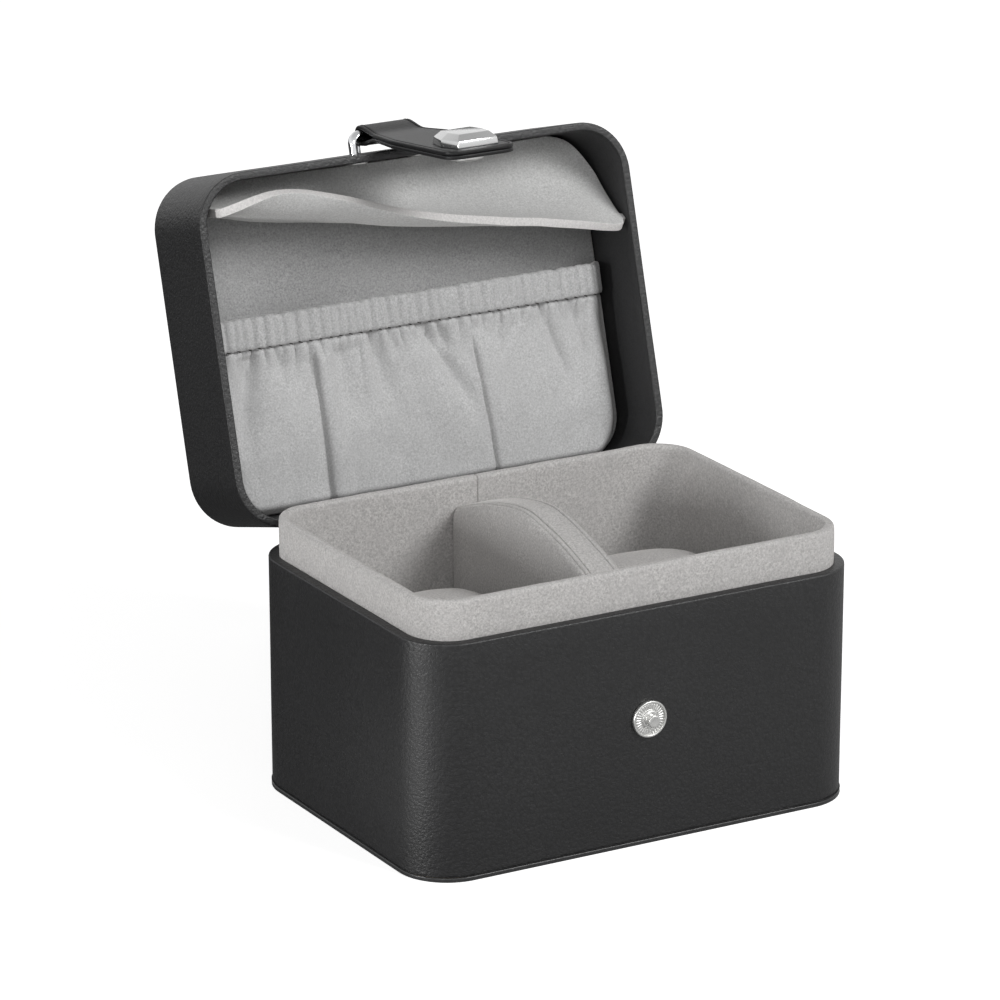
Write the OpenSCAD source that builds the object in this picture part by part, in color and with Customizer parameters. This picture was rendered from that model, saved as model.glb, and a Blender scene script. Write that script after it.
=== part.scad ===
// Small travel case: a wrapped board box with a velvet collar, a hinged lid and a snap strap.
// Millimetres. The origin is the middle of the underside, +Z is up and the strap's side is the front, -Y.
// The lid is drawn shut by its modules and then swung open about the hinge pins.

/* [Case] */
// Outside width, side to side
case_w = 125; // [115:1:150]
// Outside depth, front to back
case_d = 90; // [84:1:110]
// Height of the base up to its rim
base_h = 61.2; // [58:0.2:75]
// Height of the lid above its rim
lid_h = 27.5; // [26.5:0.5:34]
// Radius of the upright corners
corner_r = 13.6; // [11:0.2:17]
// Angle through which the lid swings open
lid_open = 106; // [95:1:112]

/* [Boards and skins] */
// Thickness of the lid's wall with its wrap and lining
lid_wall = 2; // [1.8:0.1:2.6]
// Thickness of the leatherette
skin = 0.45; // [0.3:0.05:0.6]
// Thickness of the velvet
velvet = 0.6; // [0.4:0.05:0.8]
// Thickness of the floor board and the lid's top board
board = 2; // [1.5:0.1:2.4]
// Thickness of the collar's card
collar_card = 1.4; // [1:0.1:1.8]
// Thickness of the plate under the base
plate_t = 1.2; // [0.8:0.1:2]
// Height of the groove above that plate
groove = 0.35; // [0.2:0.05:0.6]
// Least gap between the collar and the lid's rim as the lid swings
rim_clear = 0.2; // [0.15:0.05:0.4]

/* [Lining] */
// Height of the collar above the base's rim
lip_h = 10; // [7:0.5:10.5]
// How far the collar's velvet is turned down outside
turn_in = 12; // [6:1:20]
// Thickness of the padded floor
floor_pad_t = 2; // [1:0.25:4]
// Depth from the lid's rim to its velvet panel
lid_depth = 20.5; // [20:0.25:21]
// Thickness of the card behind that panel
lid_card = 1.2; // [0.8:0.1:1.6]

/* [Divider] */
// Sideways place of the divider
divider_x = -2; // [-6:0.5:6]
// Thickness of the padded divider
divider_t = 12; // [8:0.5:14]
// Thickness of the board inside it
divider_board_t = 2; // [1.5:0.25:3]
// Height of its arched top above the base's rim
divider_rise = 12; // [6:0.5:12.5]
// How far the arch drops over 40 mm
divider_drop = 11.5; // [6:0.5:14]

/* [Cushions] */
// Gap from a cushion's sides to the walls of the narrower room
cushion_side = 1.6; // [0.6:0.1:5]
// Height of a cushion
cushion_h = 47; // [40:0.5:50]
// Gap from a cushion's front and back to the collar
cushion_gap = 3; // [1:0.5:8]
// Thickness of a cushion's cover
cover_t = 1; // [0.6:0.1:1.5]

/* [Snap stud] */
// Height of the stud on the front
stud_z = 32.8; // [28:0.2:38]
// Radius of its flange
flange_r = 4.75; // [4:0.25:6]
// Number of fine ribs on the flange
flange_ribs = 32; // [24:2:40]
// Radius of the post
post_r = 1.6; // [1.3:0.1:1.9]
// How far the post stands proud
post_h = 2.9; // [2.4:0.1:3]

/* [Strap] */
// Height of the loop's bar above the lid's rim
bar_up = 14; // [13:0.5:16]
// Distance of the bar's middle from the lid's front
bar_out = 4.6; // [4.4:0.1:5.4]
// Radius of the chromed wire
wire_r = 1.5; // [1:0.1:1.6]
// Thickness of one leather layer
leather = 1.1; // [0.9:0.05:1.3]
// Width of the strap at the bar
strap_w = 14.7; // [12:0.5:18]
// Width of the strap at its tip
tip_w = 19.8; // [17:0.5:24]
// Length of the folded end that turns on the bar
fold_len = 17; // [14:0.25:18]
// Inward slope of the folded end when the lid is open
fold_tilt = 8; // [4:0.5:8]
// Inward slope of the free end when the lid is open
drape_tilt = 9; // [4:0.5:12]
// Where the strap starts to widen, from the bar
widen_from = 5; // [3:0.5:10]
// Where it has its full width
widen_to = 24; // [18:0.5:28]
// How far the tip reaches past the snap
tip_past = 9.5; // [7.8:0.25:11]

/* [Clasp] */
// Width of the clasp plate across its middle
clasp_w = 14.4; // [12:0.2:17]
// Length of the clasp plate along the strap
clasp_l = 13.4; // [10:0.2:15]
// Height of the clasp plate
clasp_h = 3.4; // [2.5:0.1:4.5]
// Radius of the snap socket
socket_r = 4.4; // [4:0.1:5]
// Thickness of the snap socket
socket_t = 2; // [1.8:0.1:2.2]

/* [Lid pocket and flap] */
// Lid-depth place of the pocket's top edge, from the middle
pocket_top = -9; // [-10:0.5:-4]
// Height of the pocket's elastic hem
hem_h = 8; // [6:0.5:10]
// How far the pocket stands off the panel
pocket_gap = 5.6; // [4.8:0.1:6]
// Thickness of the pocket's cloth
pocket_t = 1.2; // [0.8:0.1:1.4]
// Length of the flap from its seam
flap_len = 29; // [24:0.5:30]
// Thickness of the flap
flap_t = 2.2; // [1.6:0.1:2.4]

/* [Hinges] */
// Distance of each hinge from the middle
hinge_x = 32; // [24:1:38]
// Width of a hinge
hinge_w = 20; // [16:1:24]
// Height of a hinge leaf
leaf_h = 12; // [10:0.5:14]
// Thickness of a hinge leaf
leaf_t = 0.9; // [0.6:0.1:1]
// Radius of the knuckles
knuckle_r = 1.7; // [1.5:0.1:1.8]
// Radius of the pin
pin_r = 0.8; // [0.6:0.05:0.9]
// Running clearance of the pin
pin_gap = 0.05; // [0.02:0.01:0.09]

/* [Hidden] */

fine = 96;
fit = 0.05;
seat = 0.3;
over = 1;

// Hinge axis
knuckle_sink = 0.4;
hinge_y = case_d / 2 + leaf_t + knuckle_r - knuckle_sink;
hinge_z = base_h;

// The collar stands in by as much as the swinging rim needs to pass its top edge
rim_reach = case_d / 2 + hinge_y - lid_wall;
rim_gap = rim_reach - sqrt(pow(rim_reach - rim_clear, 2) - pow(lip_h - velvet, 2));

// Walls and levels of the base
base_wall = lid_wall + rim_gap;
rim_seat = 0.1;
rim_z = base_h + rim_seat;
floor_z = plate_t + board;
pad_z = floor_z + floor_pad_t;
collar_in = base_wall + 2 * velvet + collar_card;
collar_z = base_h + lip_h;
lip_round = 0.5;
plate_in = 0.1;

// Levels of the shut lid
lid_top = base_h + lid_h;
panel_z = base_h + lid_depth;
lid_lining = 0.35;
card_z = panel_z + velvet;
foam_z = card_z + lid_card;
top_board_z = lid_top - skin - board;

// Hinge leaves, pins and rivets
knuckle_gap = 0.15;
knuckle_in = hinge_w * 0.22;
knuckle_out = knuckle_in + knuckle_gap;
leaf_off = knuckle_r + knuckle_gap;
rivet_off = leaf_off + leaf_h * 0.55;
curl_in = 0.5;
curl_lap = 0.3;
heel_l = 3.4;
heel_gap = 0.3;
pin_head = 0.4;
rivet_r = 0.9;
rivet_head_r = 1.7;
rivet_head_t = 0.5;

// Stud: the flange's dome, its raised edge and its ribs, the post's head and the washer
flange_t = 0.5;
ring_t = 0.4;
ring_w = 0.7;
dome_r = 2.3;
dome_h = 1;
rib_at = 2.5;
rib_l = flange_r - ring_w - rib_at;
rib_w = 0.26;
rib_up = 0.12;
post_head_t = 0.7;
post_head_in = 0.15;
washer_r = 4;
washer_t = velvet - 0.1;

// Loop: its bends, and how far its legs and washers stand inside the wall
bend_r = wire_r + 0.4;
leg_in = 0.6;
loop_washer_w = 1.4;

// Strap, measured on the shut lid
bar_z = base_h + bar_up;
flex_z = bar_z - fold_len * cos(fold_tilt);
flex_out = bar_out - fold_len * sin(fold_tilt);
snap_gap = 0.4;
snap_out = flange_t + ring_t + snap_gap + socket_t + leather;
snap_tilt = atan((snap_out - flex_out) / (flex_z - stud_z));
snap_s = sqrt(pow(snap_out - flex_out, 2) + pow(flex_z - stud_z, 2));
drape_turn = drape_tilt + snap_tilt;
bar_gap = 0.08;
flex_gap = 0.3;
loop_x = strap_w / 2 + 0.35 + wire_r;
fold_meet = 7;
tip_corner = 3.2;

// Clasp and socket
clasp_rivet_r = 1.5;
clasp_waist = 0.4;
clasp_side = 0.55;
clasp_slope = 2.1;
clasp_flat = 0.05;
socket_bore = 2.3;
socket_floor = 0.1;
spring_low = 0.9;
spring_t = 0.4;
spring_gap = 0.3;

// Flap and the tape that holds it
tape_back = 1.2;
tape_front = 3.5;
tape_t = 0.5;
flap_y = -case_d / 2 + lid_wall + 1.5;
flap_z = panel_z - flap_t / 2 - 0.8;
flap_turn = 44;

// Pocket: its edge, the slopes at its sides and foot, its folds and its hem
pocket_edge = 0.8;
pocket_side = 13;
pocket_foot = 12;
pocket_fold_l = -31;
pocket_fold_r = 17;
pocket_fold = 0.45;
pocket_swell = 0.3;
hem_t = 2;
elastic_in = 0.6;
elastic_end = 3;
elastic_h = 5.6;

// Divider: the top of its arch, and how far its board stays inside the pad
divider_z = base_h + divider_rise;
divider_len = case_d - 2 * collar_in - 2 * seat;
arch_y = 5;
arch_span = 40;
divider_inset = 2;
board_gap = 0.15;

// Rooms at the divider's sides and the cushions in them; the underside is cut flat at a share of
// the half height
room_left = [-case_w / 2 + collar_in, divider_x - divider_t / 2];
room_right = [divider_x + divider_t / 2, case_w / 2 - collar_in];
cushion_flat = 0.97;
cushion_end = 0.62;
cushion_l = case_d - 2 * collar_in - 2 * cushion_gap;
cushion_w = min(room_left[1] - room_left[0], room_right[1] - room_right[0]) - 2 * cushion_side;
core_gap = 0.15;

echo(joint = "lid_hinge", y = hinge_y, z = hinge_z);

// Turns a point of the shut lid to where it is when the lid is open
function opened(p) = let (y = p[1] - hinge_y, z = p[2] - hinge_z)
    [p[0], hinge_y + y * cos(lid_open) + z * sin(lid_open), hinge_z - y * sin(lid_open) + z * cos(lid_open)];
echo(joint = "strap_swing", at = opened([0, -case_d / 2 - bar_out, bar_z]));
echo(joint = "strap_drape", at = opened([0, -case_d / 2 - flex_out, flex_z]), turn = drape_turn);
echo(joint = "flap_fold", at = opened([0, flap_y, flap_z]), turn = flap_turn);

// Half the inside width of a rounded outline at y, for an outline drawn in by inset
function half_width(y, inset) = let (r = corner_r - inset, past = abs(y) - (case_d / 2 - corner_r))
    case_w / 2 - corner_r + (past > 0 ? sqrt(max(r * r - past * past, 0)) : r);

// Smooth step from 0 to 1 as t goes from 0 to 1
function ease(t) = let (u = min(max(t, 0), 1)) u * u * (3 - 2 * u);

// A closed sheet from two grids of points with the same rows and columns
module sheet(front, back) {
    rows = len(front);
    cols = len(front[0]);
    n = rows * cols;
    points = [for (grid = [front, back]) for (row = grid) for (p = row) p];
    function at(i, j) = i * cols + j;
    quads_front = [for (i = [0:rows - 2]) for (j = [0:cols - 2])
        each [[at(i, j), at(i, j + 1), at(i + 1, j + 1)], [at(i, j), at(i + 1, j + 1), at(i + 1, j)]]];
    quads_back = [for (f = quads_front) [n + f[0], n + f[2], n + f[1]]];
    rim = concat([for (j = [0:cols - 2]) at(0, j)], [for (i = [0:rows - 2]) at(i, cols - 1)],
        [for (j = [cols - 1:-1:1]) at(rows - 1, j)], [for (i = [rows - 1:-1:1]) at(i, 0)]);
    m = len(rim);
    edge = [for (k = [0:m - 1]) let (a = rim[k], b = rim[(k + 1) % m])
        each [[a, n + a, n + b], [a, n + b, b]]];
    polyhedron(points, concat(quads_front, quads_back, edge));
}

// A closed body lofted through rings of points, with a pole at each end
module loft(rings, pole_a, pole_b) {
    n = len(rings[0]);
    last = len(rings) - 1;
    points = concat([for (r = rings) each r], [pole_a, pole_b]);
    a = (last + 1) * n;
    sides = [for (i = [0:last - 1]) for (j = [0:n - 1]) let (k = (j + 1) % n)
        each [[i * n + j, i * n + k, i * n + n + k], [i * n + j, i * n + n + k, i * n + n + j]]];
    caps = [for (j = [0:n - 1]) let (k = (j + 1) % n) each [[a, k, j], [a + 1, last * n + j, last * n + k]]];
    polyhedron(points, concat(sides, caps));
}

// The case's outline, drawn in by inset
module outline(inset) {
    w = case_w - 2 * inset;
    d = case_d - 2 * inset;
    r = corner_r - inset;
    square([w - 2 * r, d], center = true);
    square([w, d - 2 * r], center = true);
    for (x = [-1, 1], y = [-1, 1])
        translate([x * (w / 2 - r), y * (d / 2 - r)])
            circle(r, $fn = fine);
}

module slab(inset, low, high) {
    translate([0, 0, low])
        linear_extrude(high - low)
            outline(inset);
}

// An upright wall between two drawn-in outlines
module ring(outer, inner, low, high) {
    difference() {
        slab(outer, low, high);
        slab(inner, low - over, high + over);
    }
}

// A cylinder along Y from y_a towards +Y
module rod_y(r, y_a, y_b, x, z) {
    translate([x, y_a, z])
        rotate([-90, 0, 0])
            cylinder(r = r, h = y_b - y_a, $fn = 48);
}

// A cylinder along X
module rod_x(r, x_a, x_b, y, z) {
    translate([x_a, y, z])
        rotate([0, 90, 0])
            cylinder(r = r, h = x_b - x_a, $fn = 48);
}

// A box from its two corners
module block(a, b) {
    translate(a)
        cube([b[0] - a[0], b[1] - a[1], b[2] - a[2]]);
}

module open_lid() {
    translate([0, hinge_y, hinge_z])
        rotate([-lid_open, 0, 0])
            translate([0, -hinge_y, -hinge_z])
                children();
}

// Rivets of both hinges, as rods of radius r from y_a to y_b, on the base's or the lid's leaves
module rivet_rods(r, y_a, y_b, side) {
    for (x = [-hinge_x, hinge_x], dx = [-hinge_w / 4, hinge_w / 4])
        rod_y(r, y_a, y_b, x + dx, hinge_z + side * rivet_off);
}

// Base: boards, wrap and floor

module base_board() {
    color("#8c7a62")
        difference() {
            slab(skin, plate_t, base_h - skin);
            slab(base_wall, floor_z, base_h + over);
            rod_y(post_r + fit, -case_d / 2 - over, -case_d / 2 + base_wall + over, 0, stud_z);
            rivet_rods(rivet_r + fit, case_d / 2 - base_wall - over, case_d / 2 + over, -1);
        }
}

module base_wrap() {
    color("#2f2f30")
        difference() {
            union() {
                ring(0, skin, plate_t + groove, base_h);
                ring(skin, base_wall, base_h - skin, base_h);
            }
            rod_y(post_r + fit, -case_d / 2 - over, -case_d / 2 + skin + over, 0, stud_z);
            rivet_rods(rivet_r + fit, case_d / 2 - skin - over, case_d / 2 + over, -1);
        }
}

module base_plate() {
    color("#2b2b2c")
        slab(plate_in, 0, plate_t);
}

module floor_pad() {
    color("#a09d99")
        slab(collar_in + fit, floor_z, pad_z);
}

module collar_board() {
    color("#b8ab94")
        ring(base_wall + velvet, base_wall + velvet + collar_card, floor_z, collar_z - velvet);
}

module collar_velvet() {
    color("#aaa6a2") {
        ring(base_wall, base_wall + velvet, base_h - turn_in, collar_z - velvet);
        ring(base_wall + lip_round, collar_in - lip_round, collar_z - velvet, collar_z);
        ring(collar_in - velvet, collar_in, floor_z, collar_z - velvet);
    }
}

// Snap stud on the front

module stud_flange() {
    front = -case_d / 2;
    color("#d9d9d6")
        difference() {
            union() {
                rod_y(flange_r, front - flange_t, front, 0, stud_z);
                difference() {
                    rod_y(flange_r, front - flange_t - ring_t, front, 0, stud_z);
                    rod_y(flange_r - ring_w, front - 2 * over, front + over, 0, stud_z);
                }
                rod_y(dome_r, front - dome_h, front, 0, stud_z);
                for (i = [0:flange_ribs - 1])
                    translate([0, front - flange_t - rib_up, stud_z])
                        rotate([0, i * 360 / flange_ribs, 0])
                            translate([rib_at, 0, -rib_w / 2])
                                cube([rib_l + fit, rib_up + fit, rib_w]);
            }
            rod_y(post_r + fit, front - 2 * over, front + over, 0, stud_z);
        }
}

module stud_post() {
    front = -case_d / 2;
    color("#e2e2df") {
        rod_y(post_r - post_head_in, front - post_h + post_head_t, front - dome_h, 0, stud_z);
        rod_y(post_r, front - dome_h, front + base_wall + washer_t, 0, stud_z);
        rod_y(post_r, front - post_h, front - post_h + post_head_t, 0, stud_z);
    }
}

module stud_washer() {
    back = -case_d / 2 + base_wall;
    color("#c9c9c4")
        difference() {
            rod_y(washer_r, back, back + washer_t, 0, stud_z);
            rod_y(post_r + fit, back - over, back + over, 0, stud_z);
        }
}

// Hinges: the leaf stands on the wall's outer face, side is -1 on the base and 1 on the lid

module hinge_leaf(side, knuckles) {
    wall_y = case_d / 2;
    difference() {
        union() {
            for (k = knuckles) {
                rod_x(knuckle_r, k[0], k[1], hinge_y, hinge_z);
                low = hinge_z + side * knuckle_sink;
                high = hinge_z + side * (leaf_off + curl_lap);
                block([k[0], wall_y + fit, min(low, high)], [k[1], hinge_y - curl_in, max(low, high)]);
            }
            near = hinge_z + side * leaf_off;
            far = hinge_z + side * (leaf_off + leaf_h);
            block([-hinge_w / 2, wall_y, min(near, far)], [hinge_w / 2, wall_y + leaf_t, max(near, far)]);
        }
        rod_x(pin_r + pin_gap, -hinge_w, hinge_w, hinge_y, hinge_z);
        for (dx = [-hinge_w / 4, hinge_w / 4])
            rod_y(rivet_r + fit, wall_y - over, wall_y + leaf_t + over, dx, hinge_z + side * rivet_off);
    }
}

module hinge_base_leaves() {
    color("#c8c6c0")
        for (x = [-hinge_x, hinge_x])
            translate([x, 0, 0])
                hinge_leaf(-1, [[-hinge_w / 2, -knuckle_out], [knuckle_out, hinge_w / 2]]);
}

// The heel on the lid's knuckle meets the base's leaf and stops the lid
module hinge_lid_leaves() {
    color("#c8c6c0")
        for (x = [-hinge_x, hinge_x])
            translate([x, 0, 0]) {
                open_lid()
                    hinge_leaf(1, [[-knuckle_in, knuckle_in]]);
                difference() {
                    block([-knuckle_in, case_d / 2 + leaf_t, hinge_z - heel_l],
                        [knuckle_in, hinge_y - heel_gap, hinge_z - curl_in]);
                    rod_x(pin_r + pin_gap, -hinge_w, hinge_w, hinge_y, hinge_z);
                }
            }
}

module hinge_pins() {
    color("#b9b7b1")
        for (x = [-hinge_x, hinge_x])
            translate([x, 0, 0]) {
                rod_x(pin_r, -hinge_w / 2, hinge_w / 2, hinge_y, hinge_z);
                for (head_x = [-hinge_w / 2 - pin_head, hinge_w / 2])
                    rod_x(pin_r + pin_head, head_x, head_x + pin_head, hinge_y, hinge_z);
            }
}

module hinge_rivets(side, wall_t) {
    outer = case_d / 2 + leaf_t;
    rivet_rods(rivet_r, case_d / 2 - wall_t, outer, side);
    rivet_rods(rivet_head_r, outer, outer + rivet_head_t, side);
}

module hinge_base_rivets() {
    color("#d2d0ca")
        hinge_rivets(-1, base_wall);
}

module hinge_lid_rivets() {
    color("#d2d0ca")
        open_lid()
            hinge_rivets(1, lid_wall - lid_lining);
}

// Lid, drawn shut

module lid_board() {
    color("#8c7a62")
        open_lid()
            difference() {
                slab(skin, rim_z + skin, lid_top - skin);
                slab(lid_wall - lid_lining, rim_z, top_board_z);
                loop_legs(wire_r + fit);
                rivet_rods(rivet_r + fit, case_d / 2 - lid_wall - over, case_d / 2 + over, 1);
            }
}

module lid_wrap() {
    color("#2f2f30")
        open_lid()
            difference() {
                union() {
                    ring(0, skin, rim_z, lid_top - skin);
                    slab(0, lid_top - skin, lid_top);
                    ring(skin, lid_wall, rim_z, rim_z + skin);
                }
                loop_legs(wire_r + fit);
                rivet_rods(rivet_r + fit, case_d / 2 - skin - over, case_d / 2 + over, 1);
            }
}

module lid_wall_lining() {
    color("#29292a")
        open_lid()
            difference() {
                ring(lid_wall - lid_lining, lid_wall, rim_z + skin, foam_z);
                loop_legs(wire_r + fit);
            }
}

module lid_foam() {
    color("#d8d2c4")
        open_lid()
            slab(lid_wall + fit, foam_z, top_board_z);
}

module lid_card_panel() {
    color("#b8ab94")
        open_lid()
            slab(lid_wall + velvet, card_z, foam_z);
}

module lid_velvet() {
    color("#8f8c89")
        open_lid() {
            slab(lid_wall + fit, panel_z, card_z);
            ring(lid_wall + fit, lid_wall + velvet, card_z, foam_z);
        }
}

// Pocket: how far its back stands off the panel, at x along and y down the lid

function pocket_stand(x, y) = let (
    side = ease((half_width(y, lid_wall + pocket_edge) - abs(x)) / pocket_side),
    foot = ease((case_d / 2 - lid_wall - pocket_edge - y) / pocket_foot),
    deep = ease((y - pocket_top - hem_h) / 6),
    fold_a = exp(-pow((x - pocket_fold_l + y * 0.06) / 2.6, 2)),
    fold_b = exp(-pow((x - pocket_fold_r) / 2.2, 2)) * ease((y - 4) / 8),
    swell = pocket_swell * (1 + sin(x * 7 + 40)) * deep,
    full = (pocket_gap - seat) * (1 - pocket_fold * deep * (fold_a + fold_b)) + swell)
    seat + full * side * foot;

pocket_cols = 46;
pocket_rows = 11;

// One point of the pocket, t from 0 to 1 across and v from 0 to 1 down, stood off by extra
function pocket_point(t, v, extra) = let (
    y = pocket_top + hem_h + fit + v * (case_d / 2 - lid_wall - pocket_edge - pocket_top - hem_h - fit),
    x = (2 * t - 1) * half_width(y * 0.999, lid_wall + pocket_edge))
    [x, y, panel_z - pocket_stand(x, y) - extra];

module pocket_panel() {
    grid = function(extra) [for (i = [0:pocket_rows]) [for (j = [0:pocket_cols])
        pocket_point(j / pocket_cols, i / pocket_rows, extra)]];
    color("#a3a09c")
        open_lid()
            sheet(grid(0), grid(pocket_t));
}

// A band that follows the pocket's mouth, between two distances from the pocket's back
module mouth_band(near, far, y_low, y_high, trim) {
    steps = 40;
    reach = half_width(pocket_top, lid_wall + pocket_edge) - trim;
    xs = [for (i = [0:steps]) reach * (2 * i / steps - 1)];
    mouth = function(x) seat + (pocket_gap - seat) * ease((reach + trim - abs(x)) / pocket_side);
    outer = [for (x = xs) [x, panel_z - mouth(x) - far]];
    inner = [for (i = [steps:-1:0]) [xs[i], panel_z - mouth(xs[i]) - near]];
    translate([0, y_high, 0])
        rotate([90, 0, 0])
            linear_extrude(y_high - y_low)
                polygon(concat(outer, inner));
}

module pocket_hem() {
    low = pocket_top + (hem_h - elastic_h) / 2;
    color("#a8a5a1")
        open_lid()
            difference() {
                mouth_band(0, hem_t, pocket_top, pocket_top + hem_h, 0);
                mouth_band(elastic_in, hem_t - elastic_in, low - fit, low + elastic_h + fit, elastic_end);
            }
}

module pocket_elastic() {
    low = pocket_top + (hem_h - elastic_h) / 2;
    color("#dedbd4")
        open_lid()
            mouth_band(elastic_in + fit, hem_t - elastic_in - fit, low, low + elastic_h, elastic_end + seat);
}

// Flap: a padded velvet sheet sewn in along the lid's front edge

module flap_seam_tape() {
    tape_x = half_width(flap_y - tape_back, lid_wall) - seat;
    color("#96938f")
        open_lid()
            block([-tape_x, flap_y - tape_back, panel_z - tape_t], [tape_x, flap_y + tape_front, panel_z]);
}

// Slope of the flap's chord below the panel at x, steeper to the left
flap_steeper = 39;
flap_rise_at = [0.42 * case_w / 2, -0.57 * case_w / 2];
function flap_slope(x) = flap_turn
    + flap_steeper * ease((flap_rise_at[0] - x) / (flap_rise_at[0] - flap_rise_at[1]));

// Bow of the flap at x: its cross-section is an arc that turns through this angle
flap_least_bow = 2;
flap_more_bow = 86;
flap_bow_at = [0.16 * case_w / 2, -0.56 * case_w / 2];
function flap_bow(x) = flap_least_bow
    + flap_more_bow * ease((flap_bow_at[0] - x) / (flap_bow_at[0] - flap_bow_at[1]));

flap_cols = 36;
flap_rows = 7;
flap_root = 0.6;
flap_gap = 1.6;
flap_left = case_w / 2 - collar_in - 2 * seat;
flap_right = case_w / 2 - lid_wall - flap_gap;

// One point of the flap, t from 0 to 1 across and s along it, lifted by off from its middle
function flap_point(t, s, off) = let (
    wide = half_width(flap_y + s * cos(flap_turn), lid_wall) - flap_gap,
    x = (2 * t - 1) * min(wide, t < 0.5 ? flap_left : flap_right),
    first = flap_slope(x) - flap_bow(x) / 2,
    a = first + flap_bow(x) * s / flap_len,
    r = flap_len / (flap_bow(x) * PI / 180) + off)
    [x, flap_y + r * sin(a) - (r - off) * sin(first), flap_z + r * cos(a) - (r - off) * cos(first)];

module flap_sheet() {
    grid = function(off) [for (i = [0:flap_rows]) [for (j = [0:flap_cols])
        flap_point(j / flap_cols, flap_len * i / flap_rows, off * (i == 0 ? flap_root : 1))]];
    color("#b3b0ac")
        open_lid()
            sheet(grid(flap_t / 2), grid(-flap_t / 2));
}

// Strap loop: a chromed bar with two legs through the lid's front wall

module loop_legs(r) {
    for (s = [-1, 1])
        rod_y(r, -case_d / 2 - over, -case_d / 2 + lid_wall + leg_in, s * loop_x, bar_z);
}

module strap_loop() {
    front = -case_d / 2;
    color("#dfe0e0")
        open_lid() {
            rod_x(wire_r, -loop_x + bend_r, loop_x - bend_r, front - bar_out, bar_z);
            for (s = [-1, 1]) {
                rod_y(wire_r, front - bar_out + bend_r, front + lid_wall + leg_in, s * loop_x, bar_z);
                translate([s * (loop_x - bend_r), front - bar_out + bend_r, bar_z])
                    rotate([0, 0, s > 0 ? -90 : 180])
                        rotate_extrude(angle = 90, $fn = 64)
                            translate([bend_r, 0])
                                circle(wire_r, $fn = 40);
            }
        }
}

module strap_loop_washers() {
    back = -case_d / 2 + lid_wall;
    color("#c9c9c4")
        open_lid()
            for (s = [-1, 1])
                difference() {
                    rod_y(wire_r + loop_washer_w, back, back + leg_in, s * loop_x, bar_z);
                    rod_y(wire_r + fit, back - over, back + over, s * loop_x, bar_z);
                }
}

// Places children whose -Z runs along the strap and whose -Y faces outwards
module on_bar() {
    open_lid()
        translate([0, -case_d / 2 - bar_out, bar_z])
            rotate([fold_tilt, 0, 0])
                children();
}

module on_flex() {
    open_lid()
        translate([0, -case_d / 2 - flex_out, flex_z])
            rotate([drape_tilt, 0, 0])
                children();
}

// A prism across the strap, from its outline seen along the bar
module across(points, w) {
    translate([-w / 2, 0, 0])
        rotate([90, 0, 90])
            linear_extrude(w)
                polygon(points);
}

// Half the strap's width at s from the bar
function strap_half(s) = let (part = (s - widen_from) / (widen_to - widen_from))
    (strap_w + (tip_w - strap_w) * ease(part)) / 2;

// The strap's outline from s_a to s_b, measured from the bar, its tip corners rounded by tip_r
module strap_outline(s_a, s_b, tip_r) {
    steps = 9;
    turns = 6;
    side = [for (i = [0:steps]) let (s = s_a + (s_b - tip_r - s_a) * i / steps) [strap_half(s), -s]];
    end = strap_half(s_b) - tip_r;
    corner = [for (i = [1:turns]) let (a = 90 * i / turns)
        [end + tip_r * cos(a), -s_b + tip_r - tip_r * sin(a)]];
    half = concat(side, tip_r > 0 ? corner : []);
    polygon(concat(half, [for (i = [len(half) - 1:-1:0]) [-half[i][0], half[i][1]]]));
}

// The strap's outline between two faces, -Y outwards
module strap_slab(s_a, s_b, tip_r, y_low, y_high) {
    translate([0, y_high, 0])
        rotate([90, 0, 0])
            linear_extrude(y_high - y_low)
                strap_outline(s_a, s_b, tip_r);
}

// Leather folded round the bar, its two layers meeting below it
module strap_fold() {
    inner_r = wire_r + bar_gap;
    outer_r = inner_r + leather;
    foot = -fold_len + flex_gap / 2;
    lap = 0.3;
    crease = 0.1;
    color("#303031")
        on_bar()
            intersection() {
                difference() {
                    union() {
                        rod_x(outer_r, -strap_w, strap_w, 0, 0);
                        across([[lap - outer_r, 0], [outer_r - lap, 0], [leather, -fold_meet],
                            [leather, foot], [-leather, foot], [-leather, -fold_meet]], 2 * strap_w);
                    }
                    rod_x(inner_r, -strap_w - over, strap_w + over, 0, 0);
                    across([[lap - inner_r, 0], [inner_r - lap, 0], [crease, 2 * lap - fold_meet],
                        [-crease, 2 * lap - fold_meet]], 2 * strap_w + over);
                }
                strap_slab(-outer_r - over, fold_len, 0, -outer_r - over, outer_r + over);
            }
}

module strap_layer(y_low, y_high) {
    difference() {
        translate([0, 0, fold_len])
            strap_slab(fold_len + flex_gap / 2, fold_len + snap_s + tip_past, tip_corner, y_low, y_high);
        rod_y(clasp_rivet_r + fit, y_low - over, y_high + over, 0, -snap_s);
    }
}

module strap_outer() {
    color("#303031")
        on_flex()
            strap_layer(-leather, 0);
}

module strap_lining() {
    color("#39393a")
        on_flex()
            strap_layer(0, leather);
}

// Clasp plate: a six-sided plate with upright sides, sloped edges and a flat table

module clasp_slice(grow, low, high) {
    w = clasp_w / 2 + grow;
    l = clasp_l / 2 + grow;
    waist = clasp_w * clasp_waist + grow;
    translate([0, -low, 0])
        rotate([90, 0, 0])
            linear_extrude(high - low)
                polygon([[-waist, -l], [waist, -l], [w, 0], [waist, l], [-waist, l], [-w, 0]]);
}

module clasp_plate() {
    color("#d5d5d3")
        on_flex()
            translate([0, -leather, -snap_s])
                hull() {
                    clasp_slice(0, 0, clasp_h * clasp_side);
                    clasp_slice(-clasp_slope, clasp_h - clasp_flat, clasp_h);
                }
}

module clasp_rivet() {
    color("#c9c9c4")
        on_flex()
            rod_y(clasp_rivet_r, -leather, leather, 0, -snap_s);
}

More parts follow.
